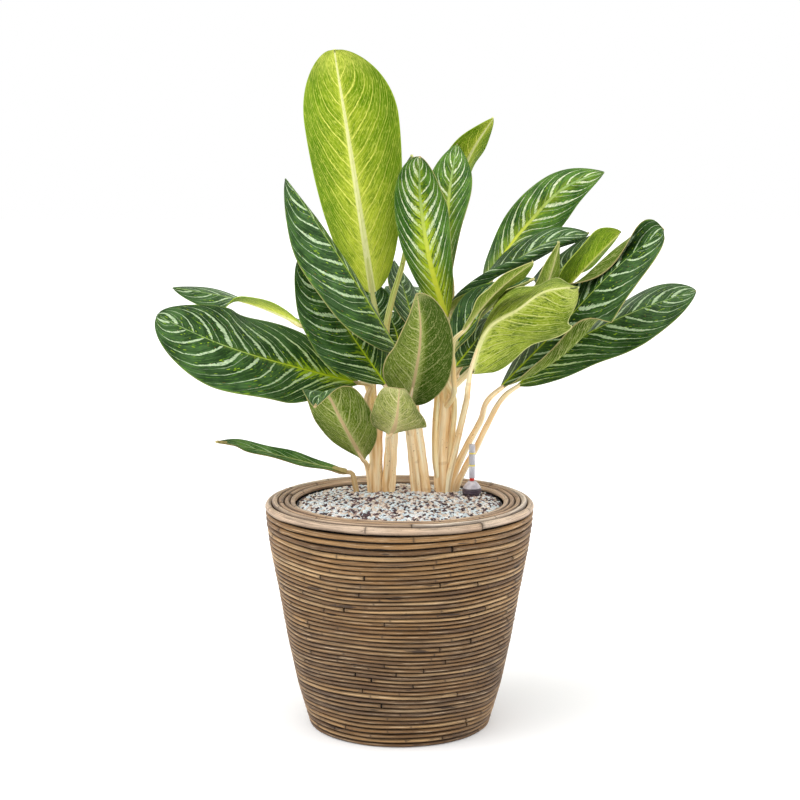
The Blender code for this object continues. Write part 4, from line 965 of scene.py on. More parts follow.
class Bench:
    """Blender's tools as they are used by hand, on one piece at a time."""

    @staticmethod
    def clear() -> None:
        """Leaves nothing selected."""
        if bpy.context.object and bpy.context.object.mode != "OBJECT":
            bpy.ops.object.mode_set(mode="OBJECT")
        bpy.ops.object.select_all(action="DESELECT")

    @staticmethod
    def pick(thing: Piece) -> None:
        """Selects one piece alone and makes it the active one.

        Args:
            thing: the piece.
        """
        Bench.clear()
        thing.select_set(True)
        bpy.context.view_layer.objects.active = thing

    @staticmethod
    def made(name: str) -> Piece:
        """The primitive that was just added, under its own name.

        Args:
            name: its name.

        Returns:
            The piece.
        """
        thing = bpy.context.object
        thing.name = name
        thing.data.name = name
        return thing

    @staticmethod
    def place_all(thing: Piece, places: Array) -> None:
        """Moves each vertex of a piece to its place."""
        thing.data.vertices.foreach_set("co", np.ascontiguousarray(places, np.float32).ravel())
        thing.data.update()

    @staticmethod
    def sheet(name: str, columns: int, rows: int) -> tuple[Piece, Array, Array]:
        """A grid primitive.

        Args:
            name: the piece's name.
            columns: faces along X.
            rows: faces along Y.

        Returns:
            The piece, and the row and column of each vertex.
        """
        Bench.clear()
        bpy.ops.mesh.primitive_grid_add(x_subdivisions=columns, y_subdivisions=rows, size=1.0)
        thing = Bench.made(name)
        flat = np.empty(len(thing.data.vertices) * 3, np.float32)
        thing.data.vertices.foreach_get("co", flat)
        flat = flat.reshape(-1, 3)
        row = np.rint((flat[:, 1] + 0.5) * rows).astype(int)
        column = np.rint((flat[:, 0] + 0.5) * columns).astype(int)
        return thing, row, column

    @staticmethod
    def paint_map(thing: Piece, name: str, pairs: Array) -> None:
        """Writes a UV map from a pair of numbers for each vertex.

        Args:
            thing: the piece.
            name: the map's name.
            pairs: two numbers for each vertex.
        """
        layers = thing.data.uv_layers
        layer = layers.get(name) or layers.new(name=name)
        corners = np.empty(len(thing.data.loops), np.int32)
        thing.data.loops.foreach_get("vertex_index", corners)
        layer.uv.foreach_set("vector", np.ascontiguousarray(pairs[corners], np.float32).ravel())

    @staticmethod
    def mark(thing: Piece, marks: Array) -> None:
        """Writes the "marks" attribute, three numbers for each vertex."""
        layer = thing.data.attributes.new("marks", "FLOAT_VECTOR", "POINT")
        layer.data.foreach_set("vector", np.ascontiguousarray(marks, np.float32).ravel())

    @staticmethod
    def tube(name: str, line: Array, radii: Array, sides: int, marks: Array,
             form: Array | None = None, level: bool = False) -> Piece:
        """A grid rolled round a line, with both ends drawn in.

        Args:
            name: the piece's name.
            line: the points that its middle follows.
            radii: its radius at each point.
            sides: its number of sides.
            marks: three numbers for each point, or for each point and side.
            form: a factor on the radius for each point and side.
            level: whether its first side looks up all along.

        Returns:
            The tube, open along one seam until it is merged.
        """
        thing, row, column = Bench.sheet(name, sides, len(line) - 1)
        along = unit(np.gradient(line, axis=0))
        first = np.zeros_like(along)
        first[0] = unit(np.cross(along[0], SLANTING))
        for k in range(1, len(line)):
            first[k] = unit(first[k - 1] - np.dot(first[k - 1], along[k]) * along[k])
        if level:
            first = unit(np.array((0.0, 0.0, 1.0)) - along[:, 2:] * along)
        second = np.cross(along, first)
        angle = TURN * column / sides
        reach = radii[row] if form is None else radii[row] * form[row, column % sides]
        places = line[row] + reach[:, None] * (first[row] * np.cos(angle)[:, None]
                                               + second[row] * np.sin(angle)[:, None])
        Bench.place_all(thing, places)
        length = np.r_[0, np.cumsum(np.linalg.norm(np.diff(line, axis=0), axis=1))]
        round_way = column / sides * TURN * float(np.max(radii))
        thing.data.uv_layers[0].name = "length"
        Bench.paint_map(thing, "length", np.stack([length[row], round_way], 1))
        Bench.mark(thing, marks[row] if marks.ndim == 2 else marks[row, column % sides])
        return thing

    @staticmethod
    def join(name: str, things: Sequence[Piece]) -> Piece:
        """Several pieces made one, with seams and poles merged.

        Args:
            name: the joined piece's name.
            things: the pieces.

        Returns:
            The joined piece.
        """
        Bench.pick(things[0])
        for thing in things:
            thing.select_set(True)
        if len(things) > 1:
            bpy.ops.object.join()
        whole = Bench.made(name)
        bpy.ops.object.mode_set(mode="EDIT")
        bpy.ops.mesh.select_all(action="SELECT")
        bpy.ops.mesh.remove_doubles(threshold=MERGE)
        bpy.ops.object.mode_set(mode="OBJECT")
        return whole

    @staticmethod
    def spun(name: str, profile: Sequence[tuple[float, float]], centre: tuple[float, float],
             steps: int = 96) -> Piece:
        """A closed profile turned about a vertical axis.

        Args:
            name: the piece's name.
            profile: radius and height of each corner.
            centre: X and Y of the axis.
            steps: how many faces it has round.

        Returns:
            The closed turned piece.
        """
        Bench.clear()
        bpy.ops.mesh.primitive_circle_add(vertices=len(profile), radius=1.0)
        thing = Bench.made(name)
        Bench.place_all(thing, np.array([(centre[0] + r, centre[1], z) for r, z in profile]))
        bpy.ops.object.mode_set(mode="EDIT")
        bpy.ops.mesh.select_all(action="SELECT")
        bpy.ops.mesh.spin(steps=steps, angle=TURN, center=(*centre, 0.0), axis=(0, 0, 1))
        bpy.ops.mesh.select_all(action="SELECT")
        bpy.ops.mesh.remove_doubles(threshold=MERGE)
        bpy.ops.mesh.normals_make_consistent(inside=False)
        bpy.ops.object.mode_set(mode="OBJECT")
        return thing

    @staticmethod
    def smooth(thing: Piece, degrees: float = 50.0) -> None:
        """Shades a piece smooth except at edges sharper than an angle."""
        Bench.pick(thing)
        bpy.ops.object.shade_smooth_by_angle(angle=math.radians(degrees))

    @staticmethod
    def redress(node: str, material: Material) -> None:
        """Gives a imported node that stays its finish."""
        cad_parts[node].data.materials.clear()
        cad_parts[node].data.materials.append(material)

    @staticmethod
    def hand_over(thing: Piece, materials: Sequence[Material], slot: str,
                  nodes: Sequence[str] = ()) -> None:
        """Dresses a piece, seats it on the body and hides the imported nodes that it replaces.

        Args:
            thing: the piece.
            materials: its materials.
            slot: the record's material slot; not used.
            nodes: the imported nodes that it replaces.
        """
        while len(thing.data.materials) < len(materials):
            thing.data.materials.append(None)
        for number, material in enumerate(materials):
            thing.data.materials[number] = material
        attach(thing, BODY)
        if nodes:
            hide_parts(*nodes)
        count = sum(len(face.vertices) - 2 for face in thing.data.polygons)
        LOG.info("%s: %d triangles", thing.name, count)


@dataclass
class RattanPot:
    """The wound wall, its dark backing, the rim coils, the liner and the base board."""

    # height and outer radius
    outline: Profile = ((0.000, 0.1015), (0.045, 0.1145), (0.100, 0.1260), (0.150, 0.1345), (0.200, 0.1440),
                        (0.225, 0.1475), (0.240, 0.1490))
    height: float = 0.2428
    top_pitches: Sequence[float] = (0.0068, 0.0066, 0.0063, 0.0060, 0.0057, 0.0054, 0.0051)
    lower_rows: int = 41
    uneven: float = 0.13
    snug: float = 0.455
    wall_sides: int = 8
    wall_steps: int = 150
    # lengths in a row, and the angles of the gaps between them
    counts: Sequence[int] = (2, 2, 3, 3, 4)
    gaps: Sequence[float] = (0.004, 0.005, 0.006, 0.012)
    # angles of the rings near a node and at an end, and how far a node and an end show
    knot_rings: Sequence[float] = (-0.022, -0.008, -0.003, 0.003, 0.008, 0.022)
    end_ring: float = 0.0030
    ring_gap: float = 0.004
    knot_span: float = 0.009
    end_span: float = 0.010
    # shares of a cane's thickness: slow and quick waves, swelling of a node, last ring of an end
    ripples: tuple[float, float] = (0.035, 0.03)
    knot_swell: float = 0.07
    taper: float = 0.72
    sink: float = 1.04
    sway: float = 0.0012
    # waves round the pot, size, phase, and turn in radians for each metre of height
    waves: Sequence[tuple[float, ...]] = ((1, 0.9, 3.1, 12.0), (2, 0.8, 0.4, -19.0), (3, 0.7, 5.0, 27.0),
                                          (5, 0.45, 2.2, -34.0), (8, 0.25, 1.1, 41.0))
    calm: float = 0.02
    wall: float = 0.008
    slack: float = 0.0008
    backing: float = 0.0042
    foot: float = 0.0015
    ledge_inner: float = 0.1155
    # radius of the circle, half the thickness, lift, and angle where its first length starts
    coils: Sequence[tuple[float, ...]] = ((0.1187, 0.0032, 0.0004, 3.45), (0.1251, 0.0033, 0.0008, 2.95),
                                          (0.1317, 0.0034, 0.0010, 3.30), (0.1384, 0.0034, 0.0012, 2.70),
                                          (0.1452, 0.0043, -0.0010, -0.95))
    rim_sides: int = 14
    rim_steps: int = 190
    rim_gap: float = 0.004
    rim_snug: float = 0.93
    rim_sway: float = 0.0006
    rim_splits: Sequence[float] = (3.6, 2.1)
    rim_top: float = 0.2527
    liner_low: float = 0.0123
    liner_top: float = 0.2475
    liner_foot: float = 0.086
    liner_head: float = 0.1142
    liner_thick: float = 0.002
    seed: int = 11
    rng: random.Random = field(init=False)

    def __post_init__(self) -> None:
        """Starts the pot's own run of random numbers."""
        self.rng = random.Random(self.seed)

    def radius(self, height: Array | float) -> Array:
        """Outer radius of the wall at a height."""
        heights, radii = zip(*self.outline)
        return np.interp(height, heights, radii)

    def rows(self) -> list[tuple[float, float]]:
        """Middle height and thickness of each row of cane, from the top down.

        Returns:
            A height and a thickness for each row.
        """
        rest = self.height - sum(self.top_pitches)
        parts = [1 + self.rng.uniform(-self.uneven, self.uneven) for _ in range(self.lower_rows)]
        pitches = list(self.top_pitches) + [rest * p / sum(parts) for p in parts]
        rows, top = [], self.height
        for pitch in pitches:
            rows.append((top - pitch / 2, pitch))
            top -= pitch
        return rows

    def drift(self, angle: Array, height: float) -> Array:
        """How far the cane wanders up or down, alike in neighbouring rows.

        Args:
            angle: where round the pot, in radians.
            height: the row's height.

        Returns:
            The distance.
        """
        total = sum(size * np.sin(n * angle + phase + turn * height) for n, size, phase, turn in self.waves)
        ease = min(1.0, height / self.calm, (self.height - height) / self.calm)
        return total * self.sway * max(0.0, ease)

    def cane_line(self, start: float, end: float, knots: Sequence[float],
                  step: float) -> tuple[Array, Array]:
        """Where the rings of one length of cane stand.

        Args:
            start: angle where it starts.
            end: angle where it ends.
            knots: angles of its nodes.
            step: usual angle between two rings.

        Returns:
            The angle of each ring, and how much of a node is there from 0 to 1.
        """
        edge = self.end_ring
        inner = np.linspace(start, end, max(4, int((end - start) / step)))
        near = [k + d for k in knots for d in self.knot_rings]
        ends = [start, start, start + edge, start + 2 * edge, end - 2 * edge, end - edge, end, end]
        clear = [a for a in inner[1:-1] if all(abs(a - n) > self.ring_gap for n in near)]
        angles = np.sort(np.r_[clear, near, ends])
        knot = np.zeros(len(angles))
        for place in knots:
            knot = np.maximum(knot, np.clip(1.2 - abs(angles - place) / self.knot_span, 0, 1))
        near_end = np.minimum(angles - start, end - angles)
        knot = np.maximum(knot, np.clip(1.2 - near_end / self.end_span, 0, 0.85))
        return angles, knot

    def cane(self, name: str, middle: float, radius: float, height: float, spread: tuple[float, float],
             shade: Array, step: float, tone: float, drift: bool) -> Piece:
        """One length of cane bent round the pot.

        Args:
            name: its name.
            middle: radius of the circle that it lies on.
            radius: half its own thickness.
            height: its middle height.
            spread: angles where it starts and ends.
            shade: how much painted shade each of its sides has, from the top outwards and round.
            step: angle between two rings.
            tone: place on the colour ramp.
            drift: whether it wanders up and down.

        Returns:
            The cane as an open tube.
        """
        start, end = spread
        span = end - start
        knots = [start + span * share for share in self.knot_shares(span)]
        angles, knot = self.cane_line(start, end, knots, step)
        wobble = self.rng.uniform(*ANY_ANGLE)
        slow, quick = self.ripples
        lift = self.drift(angles, height) if drift else self.rim_sway * np.sin(angles * 3 + wobble)
        thick = radius * (1 + slow * np.sin(angles * 7 + wobble) + quick * np.sin(angles * 17 + wobble * 2))
        thick = thick * (1 + self.knot_swell * knot)
        thick[:2] *= (0.0, self.taper)
        thick[-2:] *= (self.taper, 0.0)
        if drift:
            middle = self.radius(np.clip(height + lift, 0, self.height)) - radius * self.sink
        line = np.stack([middle * np.cos(angles), middle * np.sin(angles),
                         np.full_like(angles, height) + lift], 1)
        line[0] = line[0] + (line[2] - line[0]) * 0.02
        line[-1] = line[-1] + (line[-3] - line[-1]) * 0.02
        # node and end darkness joined with the painted shade of each side
        dark = np.maximum(knot[:, None], shade[None])
        marks = np.stack([np.full_like(dark, tone), np.full_like(dark, self.rng.random()), dark], 2)
        return Bench.tube(name, line, thick, len(shade), marks, level=True)

    def knot_shares(self, span: float) -> list[float]:
        """Where the nodes of a length of cane are, as shares of its length."""
        count = int(span / 1.5 + self.rng.random() * 0.8)
        return [(k + 0.5 + self.rng.uniform(-0.3, 0.3)) / count for k in range(count)]

    def build_wall(self, finish: Material) -> None:
        """Rows of separate cane lengths that butt end to end.

        Args:
            finish: the cane's material.
        """
        lengths = []
        turn = TURN * np.arange(self.wall_sides) / self.wall_sides
        for number, (height, pitch) in enumerate(self.rows()):
            # painted shade on the top and bottom of each cane, where the rows meet; wider in the lower rows
            shade = np.clip((np.abs(np.cos(turn)) - 0.65 + 0.22 * min(1.0, number / 10)) / 0.35, 0, 0.95)
            count = self.rng.choice(self.counts)
            first = self.rng.uniform(0, TURN)
            joints = sorted(first + TURN * (k + self.rng.uniform(-0.28, 0.28)) / count for k in range(count))
            for k, joint in enumerate(joints):
                after = joints[k + 1] if k + 1 < count else joints[0] + TURN
                spread = (joint + self.rng.choice(self.gaps), after)
                lengths.append(self.cane(f"cane_{number}_{k}", 0.0, pitch * self.snug, height, spread, shade,
                                         TURN / self.wall_steps, self.rng.random(), True))
        wall = Bench.join("wall_canes", lengths)
        Bench.smooth(wall, 60)
        Bench.hand_over(wall, [finish], "rattan", ["rattan_wall"])

    def build_backing(self, finish: Material) -> None:
        """The shell behind the canes, dark brown as painted shade in the gaps between them, with the ledge
        that carries the rim.

        Args:
            finish: its material.
        """
        top, under = self.height - 0.001, self.height - self.wall
        outer = [(self.radius(z) - self.backing, z) for z in np.linspace(self.foot, top, 14)]
        inner = [(self.radius(z) - self.wall - self.slack, z) for z in (under, 0.15, 0.045, self.foot)]
        inner = [(self.ledge_inner, top), (self.ledge_inner, under)] + inner
        backing = Bench.spun("wall_backing", outer + inner, (0.0, 0.0))
        Bench.smooth(backing)
        Bench.hand_over(backing, [finish], "rattan")

    def build_rim(self, finish: Material) -> None:
        """Five cane coils side by side on top of the wall.

        Args:
            finish: the cane's material.
        """
        turn = TURN * np.arange(self.rim_sides) / self.rim_sides
        # painted shade on the sides where neighbouring coils touch; below is painted shade under the
        # outermost coil
        inward_shade = np.clip((-np.sin(turn) - 0.70) / 0.25, 0, 0.95)
        outward_shade = np.clip((np.sin(turn) - 0.50) / 0.40, 0, 0.95)
        below = np.clip((-np.cos(turn) - 0.05) / 0.75, 0, 0.9)
        lengths = []
        for number, (middle, radius, lift, start) in enumerate(self.coils):
            height = self.rim_top - radius - 0.0002 + lift
            second = start + self.rim_splits[number % 2]
            last = number == len(self.coils) - 1
            shade = np.maximum(inward_shade * (number > 0), below if last else outward_shade)
            for part, (first, end) in enumerate(((start, second), (second, start + TURN))):
                lengths.append(self.cane(f"coil_{number}_{part}", middle, radius * self.rim_snug, height,
                                         (first + self.rim_gap, end), shade, TURN / self.rim_steps,
                                         self.rng.random(), False))
        rim = Bench.join("rim_canes", lengths)
        Bench.smooth(rim, 60)
        Bench.hand_over(rim, [finish], "rim_cane", ["rim_coils"])

    def build_liner(self, finish: Material) -> None:
        """The black cup inside, with a rounded lip.

        Args:
            finish: its material.
        """
        low, high, thick = self.liner_low, self.liner_top, self.liner_thick
        foot, head = self.liner_foot, self.liner_head
        inner, lip = foot - thick, head - thick
        profile = [(0.0, low), (foot - 0.003, low), (foot, low + 0.003), (head, high - 0.0008),
                   (head - 0.0006, high), (lip + 0.0006, high), (lip, high - 0.0008),
                   (inner, low + thick + 0.002), (inner - 0.002, low + thick), (0.0, low + thick)]
        liner = Bench.spun("liner_cup", profile, (0.0, 0.0))
        Bench.smooth(liner)
        Bench.hand_over(liner, [finish], "liner", ["inner_liner"])

    def build(self) -> None:
        """Builds and dresses the whole pot."""
        tans = (screen(116, 84, 50), screen(148, 110, 66), screen(166, 126, 78), screen(182, 142, 92),
                screen(212, 174, 124))
        pales = (screen(178, 144, 112), screen(204, 172, 142), screen(222, 196, 170), screen(244, 226, 206))
        bands = ((0.083, 0.026, 0.34), (0.116, 0.020, 0.30), (0.046, 0.018, 0.46))
        self.build_wall(CaneFinish("wall_cane", tans, bands=bands, gap_shading=0.85).material())
        self.build_backing(DarkFinish("wall_shade", screen(24, 17, 12), screen(44, 31, 22)).material())
        self.build_rim(CaneFinish("rim_cane_skin", pales, grey=screen(168, 148, 130)).material())
        black = DarkFinish("liner_plastic", screen(10, 10, 11), screen(22, 22, 24), 60.0, 0.42, 0.0001)
        self.build_liner(black.material())
        Bench.redress("base_board", BoardFinish().material())


@dataclass
class Granulate:
    """Loose mineral grains on the mound that fills the liner."""

    edge_height: float = 0.2455
    mound: float = 0.0055
    edge_radius: float = 0.1112
    spacing: float = 0.0035
    grain: float = 0.00205
    row_step: float = 0.866
    jitter: float = 0.3
    settle: tuple[float, float] = (-0.0004, 0.0010)
    kinds: int = 8
    clear: Sequence[tuple[float, float, float]] = ((0.0820, 0.0370, 0.0125),)
    seed: int = 23

    def pebble(self, number: int, rng: random.Random) -> tuple[Array, Array]:
        """One angular grain, a bevelled cube knocked out of true.

        Args:
            number: which of the kinds it is.
            rng: where its shape comes from.

        Returns:
            Its corners and its triangles.
        """
        Bench.clear()
        bpy.ops.mesh.primitive_cube_add(size=1.0)
        thing = Bench.made(f"pebble_{number}")
        bpy.ops.object.mode_set(mode="EDIT")
        bpy.ops.mesh.select_all(action="SELECT")
        bpy.ops.mesh.bevel(offset=0.24, segments=1, affect="EDGES")
        bpy.ops.mesh.quads_convert_to_tris()
        bpy.ops.object.mode_set(mode="OBJECT")
        corners = np.array([v.co[:] for v in thing.data.vertices])
        faces = np.array([face.vertices[:] for face in thing.data.polygons])
        corners *= [rng.uniform(0.8, 1.25) for _ in range(3)]
        corners += np.array([[rng.uniform(-0.09, 0.09) for _ in range(3)] for _ in corners])
        bpy.data.objects.remove(thing)
        return corners, faces

    def spots(self, rng: random.Random) -> list[Point]:
        """Where the grains lie, clear of what stands in them.

        Args:
            rng: the random draws.

        Returns:
            Their places on the mound.
        """
        spots = []
        rows = int(self.edge_radius / (self.spacing * self.row_step)) + 1
        for row in range(-rows, rows + 1):
            for column in range(-rows - 4, rows + 5):
                loose = [rng.uniform(-self.jitter, self.jitter) * self.spacing for _ in range(2)]
                x = (column + 0.5 * (row % 2)) * self.spacing + loose[0]
                y = row * self.spacing * self.row_step + loose[1]
                far = math.hypot(x, y)
                if far > self.edge_radius or any(math.hypot(x - a, y - b) < r for a, b, r in self.clear):
                    continue
                level = self.edge_height + self.mound * (1 - (far / self.edge_radius) ** 2)
                spots.append((x, y, level + rng.uniform(*self.settle)))
        return spots

    def build(self) -> None:
        """Scatters the grains and dresses the mound under them."""
        rng = random.Random(self.seed)
        shapes = [self.pebble(k, rng) for k in range(self.kinds)]
        corners, faces, marks, count = [], [], [], 0
        for spot in self.spots(rng):
            shape, triangles = shapes[rng.randrange(self.kinds)]
            turn = unit(np.array([[rng.gauss(0, 1) for _ in range(3)] for _ in range(2)]))
            third = unit(np.cross(turn[0], turn[1]))
            axes = np.stack([turn[0], np.cross(third, turn[0]), third])
            corners.append(shape @ axes * self.grain * 2 * rng.uniform(0.72, 1.12) + np.array(spot))
            faces.append(triangles + count)
            marks.append(np.tile([rng.random(), rng.random(), 0.0], (len(shape), 1)))
            count += len(shape)
        mesh = bpy.data.meshes.new("grains")
        mesh.from_pydata(np.concatenate(corners).tolist(), [], np.concatenate(faces).tolist())
        grains = bpy.data.objects.new("grains", mesh)
        bpy.context.scene.collection.objects.link(grains)
        Bench.mark(grains, np.concatenate(marks))
        Bench.hand_over(grains, [GrainFinish().material()], "granulate")
        shade = DarkFinish("grain_shade", screen(70, 54, 52), screen(150, 128, 116), 300.0, 0.85, 0.001)
        Bench.redress("granulate", shade.material())


@dataclass
class Gauge:
    """The water-level gauge: dark collar, smoky cone, red float and clear tube with two marks.

    Its profiles and levels are in millimetres: radius, then height.
    """

    centre: tuple[float, float] = (0.0820, 0.0370)
    collar: Profile = ((0, 194), (7.5, 194), (8.5, 195), (8.5, 251.6), (10.4, 251.6), (11, 252.2),
                       (11, 253.4), (10.6, 253.7), (10.6, 254.3), (11, 254.6), (11, 256.2), (10.2, 257),
                       (0, 257))
    cone: Profile = ((0, 257.3), (9.9, 257.3), (10.12, 257.9), (9.24, 259.9), (7.26, 262.3), (5.3, 264.3),
                     (4.6, 265.2), (4, 265.5), (0, 265.5))
    plug: Profile = ((0, 265.8), (2.5, 265.8), (2.8, 266.1), (2.8, 269.3), (2, 270), (0.7, 270.6),
                     (0.7, 274.5), (0, 274.8))
    tube: Profile = ((2.7, 269.2), (3.6, 269.2), (3.6, 306.6), (3, 307.6), (2, 308), (0, 308), (0, 306.8),
                     (2.1, 306.8), (2.7, 306.2))
    mark: Profile = ((3.4, -0.8), (3.8, -0.8), (3.8, 0.8), (3.4, 0.8))
    levels: Sequence[float] = (283.5, 297.5)

    def build(self) -> None:
        """Turns and dresses each part from the collar up, then the two marks."""
        parts = (
            ("gauge_foot", self.collar, 96, "gauge_collar",
             PlasticFinish("collar_plastic", screen(62, 52, 62), screen(84, 72, 84), 0.30)),
            ("gauge_shoulder", self.cone, 96, "gauge_cone",
             PlasticFinish("smoky_plastic", screen(172, 166, 174), screen(214, 208, 214), 0.16)),
            ("gauge_plug", self.plug, 48, "gauge_float",
             PlasticFinish("red_plastic", screen(196, 30, 14), screen(214, 62, 30), 0.30)),
            ("gauge_glass", self.tube, 64, "gauge_tube",
             PlasticFinish("clear_plastic", screen(196, 196, 206), screen(222, 222, 230), 0.08, 0.55)))
        for name, profile, steps, node, finish in parts:
            self.dress(self.turned(name, profile, steps), finish, node, [node])
        strips = [self.turned(f"mark_{number}", [(radius, level + rise) for radius, rise in self.mark], 48)
                  for number, level in enumerate(self.levels)]
        ink = PlasticFinish("mark_ink", screen(222, 202, 92), screen(236, 222, 130), 0.5)
        self.dress(Bench.join("gauge_marks", strips), ink, "gauge_tube", [])

    def turned(self, name: str, profile: Profile, steps: int) -> Piece:
        """A profile turned about the gauge's axis, with so many faces round."""
        return Bench.spun(name, np.array(profile) / MM, self.centre, steps)

    def dress(self, thing: Piece, finish: PlasticFinish, slot: str, nodes: Sequence[str]) -> None:
        """Smooths a piece and hands it over with its plastic and the nodes that it replaces."""
        Bench.smooth(thing, 40)
        Bench.hand_over(thing, [finish.material()], slot, nodes)


@dataclass
class Stems:
    """Thick canes and leaf stalks of each group."""

    leaves: "Leaves"
    canes: dict[str, Sequence] = field(default_factory=lambda: CANES)
    blades: dict[str, Blade] = field(default_factory=lambda: BLADES)
    run_out: Sequence[tuple[float, float]] = ((0.03, 0.0026), (0.08, 0.0020), (0.16, 0.0012))
    crown_top: float = 0.2440
    sunk: float = 0.006
    from_crown: float = 0.27
    straight: float = 0.016
    straight_short: float = 0.007
    tip_radius: float = 0.0029
    step: float = 0.004
    sides: int = 20
    twist: float = 1.3
    crease_width: float = 0.22
    cane_lobes: float = 0.14
    stalk_lobes: float = 0.07
    seed: int = 5

    def stalk_points(self, blade: Blade) -> list[Point]:
        """Points of a stalk from the crown or cane to its blade.

        Args:
            blade: the blade.

        Returns:
            The points in order.
        """
        path = smooth_path(np.array(blade.path) / MM, np.array([0.0, 0.02]))
        way = unit(path[1] - path[0])
        points = [tuple(point) for point in np.array(blade.stalk) / MM]
        if points[0][2] < self.from_crown:
            points.insert(0, (points[0][0], points[0][1], self.crown_top - self.sunk))
        straight = self.straight_short if blade.group == "withered" else self.straight
        return points + [tuple(path[0] - way * straight)] + self.under_rib(blade)

    def under_rib(self, blade: Blade) -> list[Point]:
        """Points under a blade's midrib, where its stalk runs out into it.

        Args:
            blade: the blade.

        Returns:
            The points in order.
        """
        points, normals, shares, _ = self.leaves.surface(blade, np.array([-1.0, 0.0, 1.0]))
        rows = [int(np.searchsorted(shares, share)) for share, _ in self.run_out]
        return [tuple(points[row, 1] - normals[row, 1] * sunk) for row, (_, sunk) in zip(rows, self.run_out)]

    def rod(self, name: str, points: Sequence[Point], root: float, tip: float, green: float, lobes: float,
            rng: random.Random, extra: int = 0) -> Piece:
        """One stalk or cane with a softly lobed section.

        Args:
            name: its name.
            points: what its middle follows.
            root: radius at the bottom.
            tip: radius at the top.
            green: how green it is at the top.
            lobes: how deep its creases are, as a share of the radius.
            rng: where its creases come from.
            extra: how many of the last points lie under a blade, where it thins out.

        Returns:
            The rod as an open tube.
        """
        spans = np.linalg.norm(np.diff(np.asarray(points, float), axis=0), axis=1)
        length = spans.sum()
        bare = spans[:len(spans) - extra].sum() / length
        count = max(8, int(length / self.step))
        shares = np.linspace(0, 1, count + 1)
        line = smooth_path(points, shares)
        angle = TURN * np.arange(self.sides) / self.sides
        turn = rng.uniform(*ANY_ANGLE) + self.twist * shares[:, None] * rng.choice((-1, 1))
        creases = [rng.uniform(*ANY_ANGLE) + k * 2.4 for k in range(3 if lobes > 0.08 else 2)]
        crease = np.zeros((count + 1, self.sides))
        for place in creases:
            apart = np.angle(np.exp(1j * (angle[None] - place - turn * 0.6)))
            crease = np.maximum(crease, np.exp(-(apart / self.crease_width) ** 2))
        fade = np.clip(1.25 - shares, 0.25, 1)[:, None]
        form = 1 + lobes * (0.4 + 0.5 * np.cos(2 * angle[None] + turn) - 1.2 * crease * fade)
        radii = np.interp(shares, (0.0, bare, 1.0), (root, tip, tip * 0.4 if extra else tip))
        radii = radii * (1 + 0.03 * np.sin(shares * length * 260 + turn[0, 0]))
        greens = np.clip(green * (0.35 + 0.9 * shares), 0, 1)[:, None] * np.ones((1, self.sides))
        marks = np.stack([greens, np.full_like(form, rng.random()), crease * fade], 2)
        return Bench.tube(name, line, radii, self.sides, marks, form)

    def build(self) -> None:
        """One piece for each group, in one finish."""
        rng = random.Random(self.seed)
        finish = StalkFinish().material()
        for group, canes in self.canes.items():
            rods = []
            for number, (points, root, tip) in enumerate(canes):
                rods.append(self.rod(f"cane_{group}_{number}", np.array(points) / MM, root / MM, tip / MM,
                                     0.0, self.cane_lobes, rng))
            for name, blade in self.blades.items():
                if blade.group == group:
                    rods.append(self.rod(f"stalk_{name}", self.stalk_points(blade), blade.root / MM,
                                         self.tip_radius, blade.green, self.stalk_lobes, rng,
                                         len(self.run_out)))
            stalks = Bench.join(f"stalks_{group}", rods)
            Bench.smooth(stalks, 70)
            skin = StalkFinish("tan_stalk", 0.85).material() if group == "withered" else finish
            Bench.hand_over(stalks, [skin], "cane", [f"stems_{group}"])


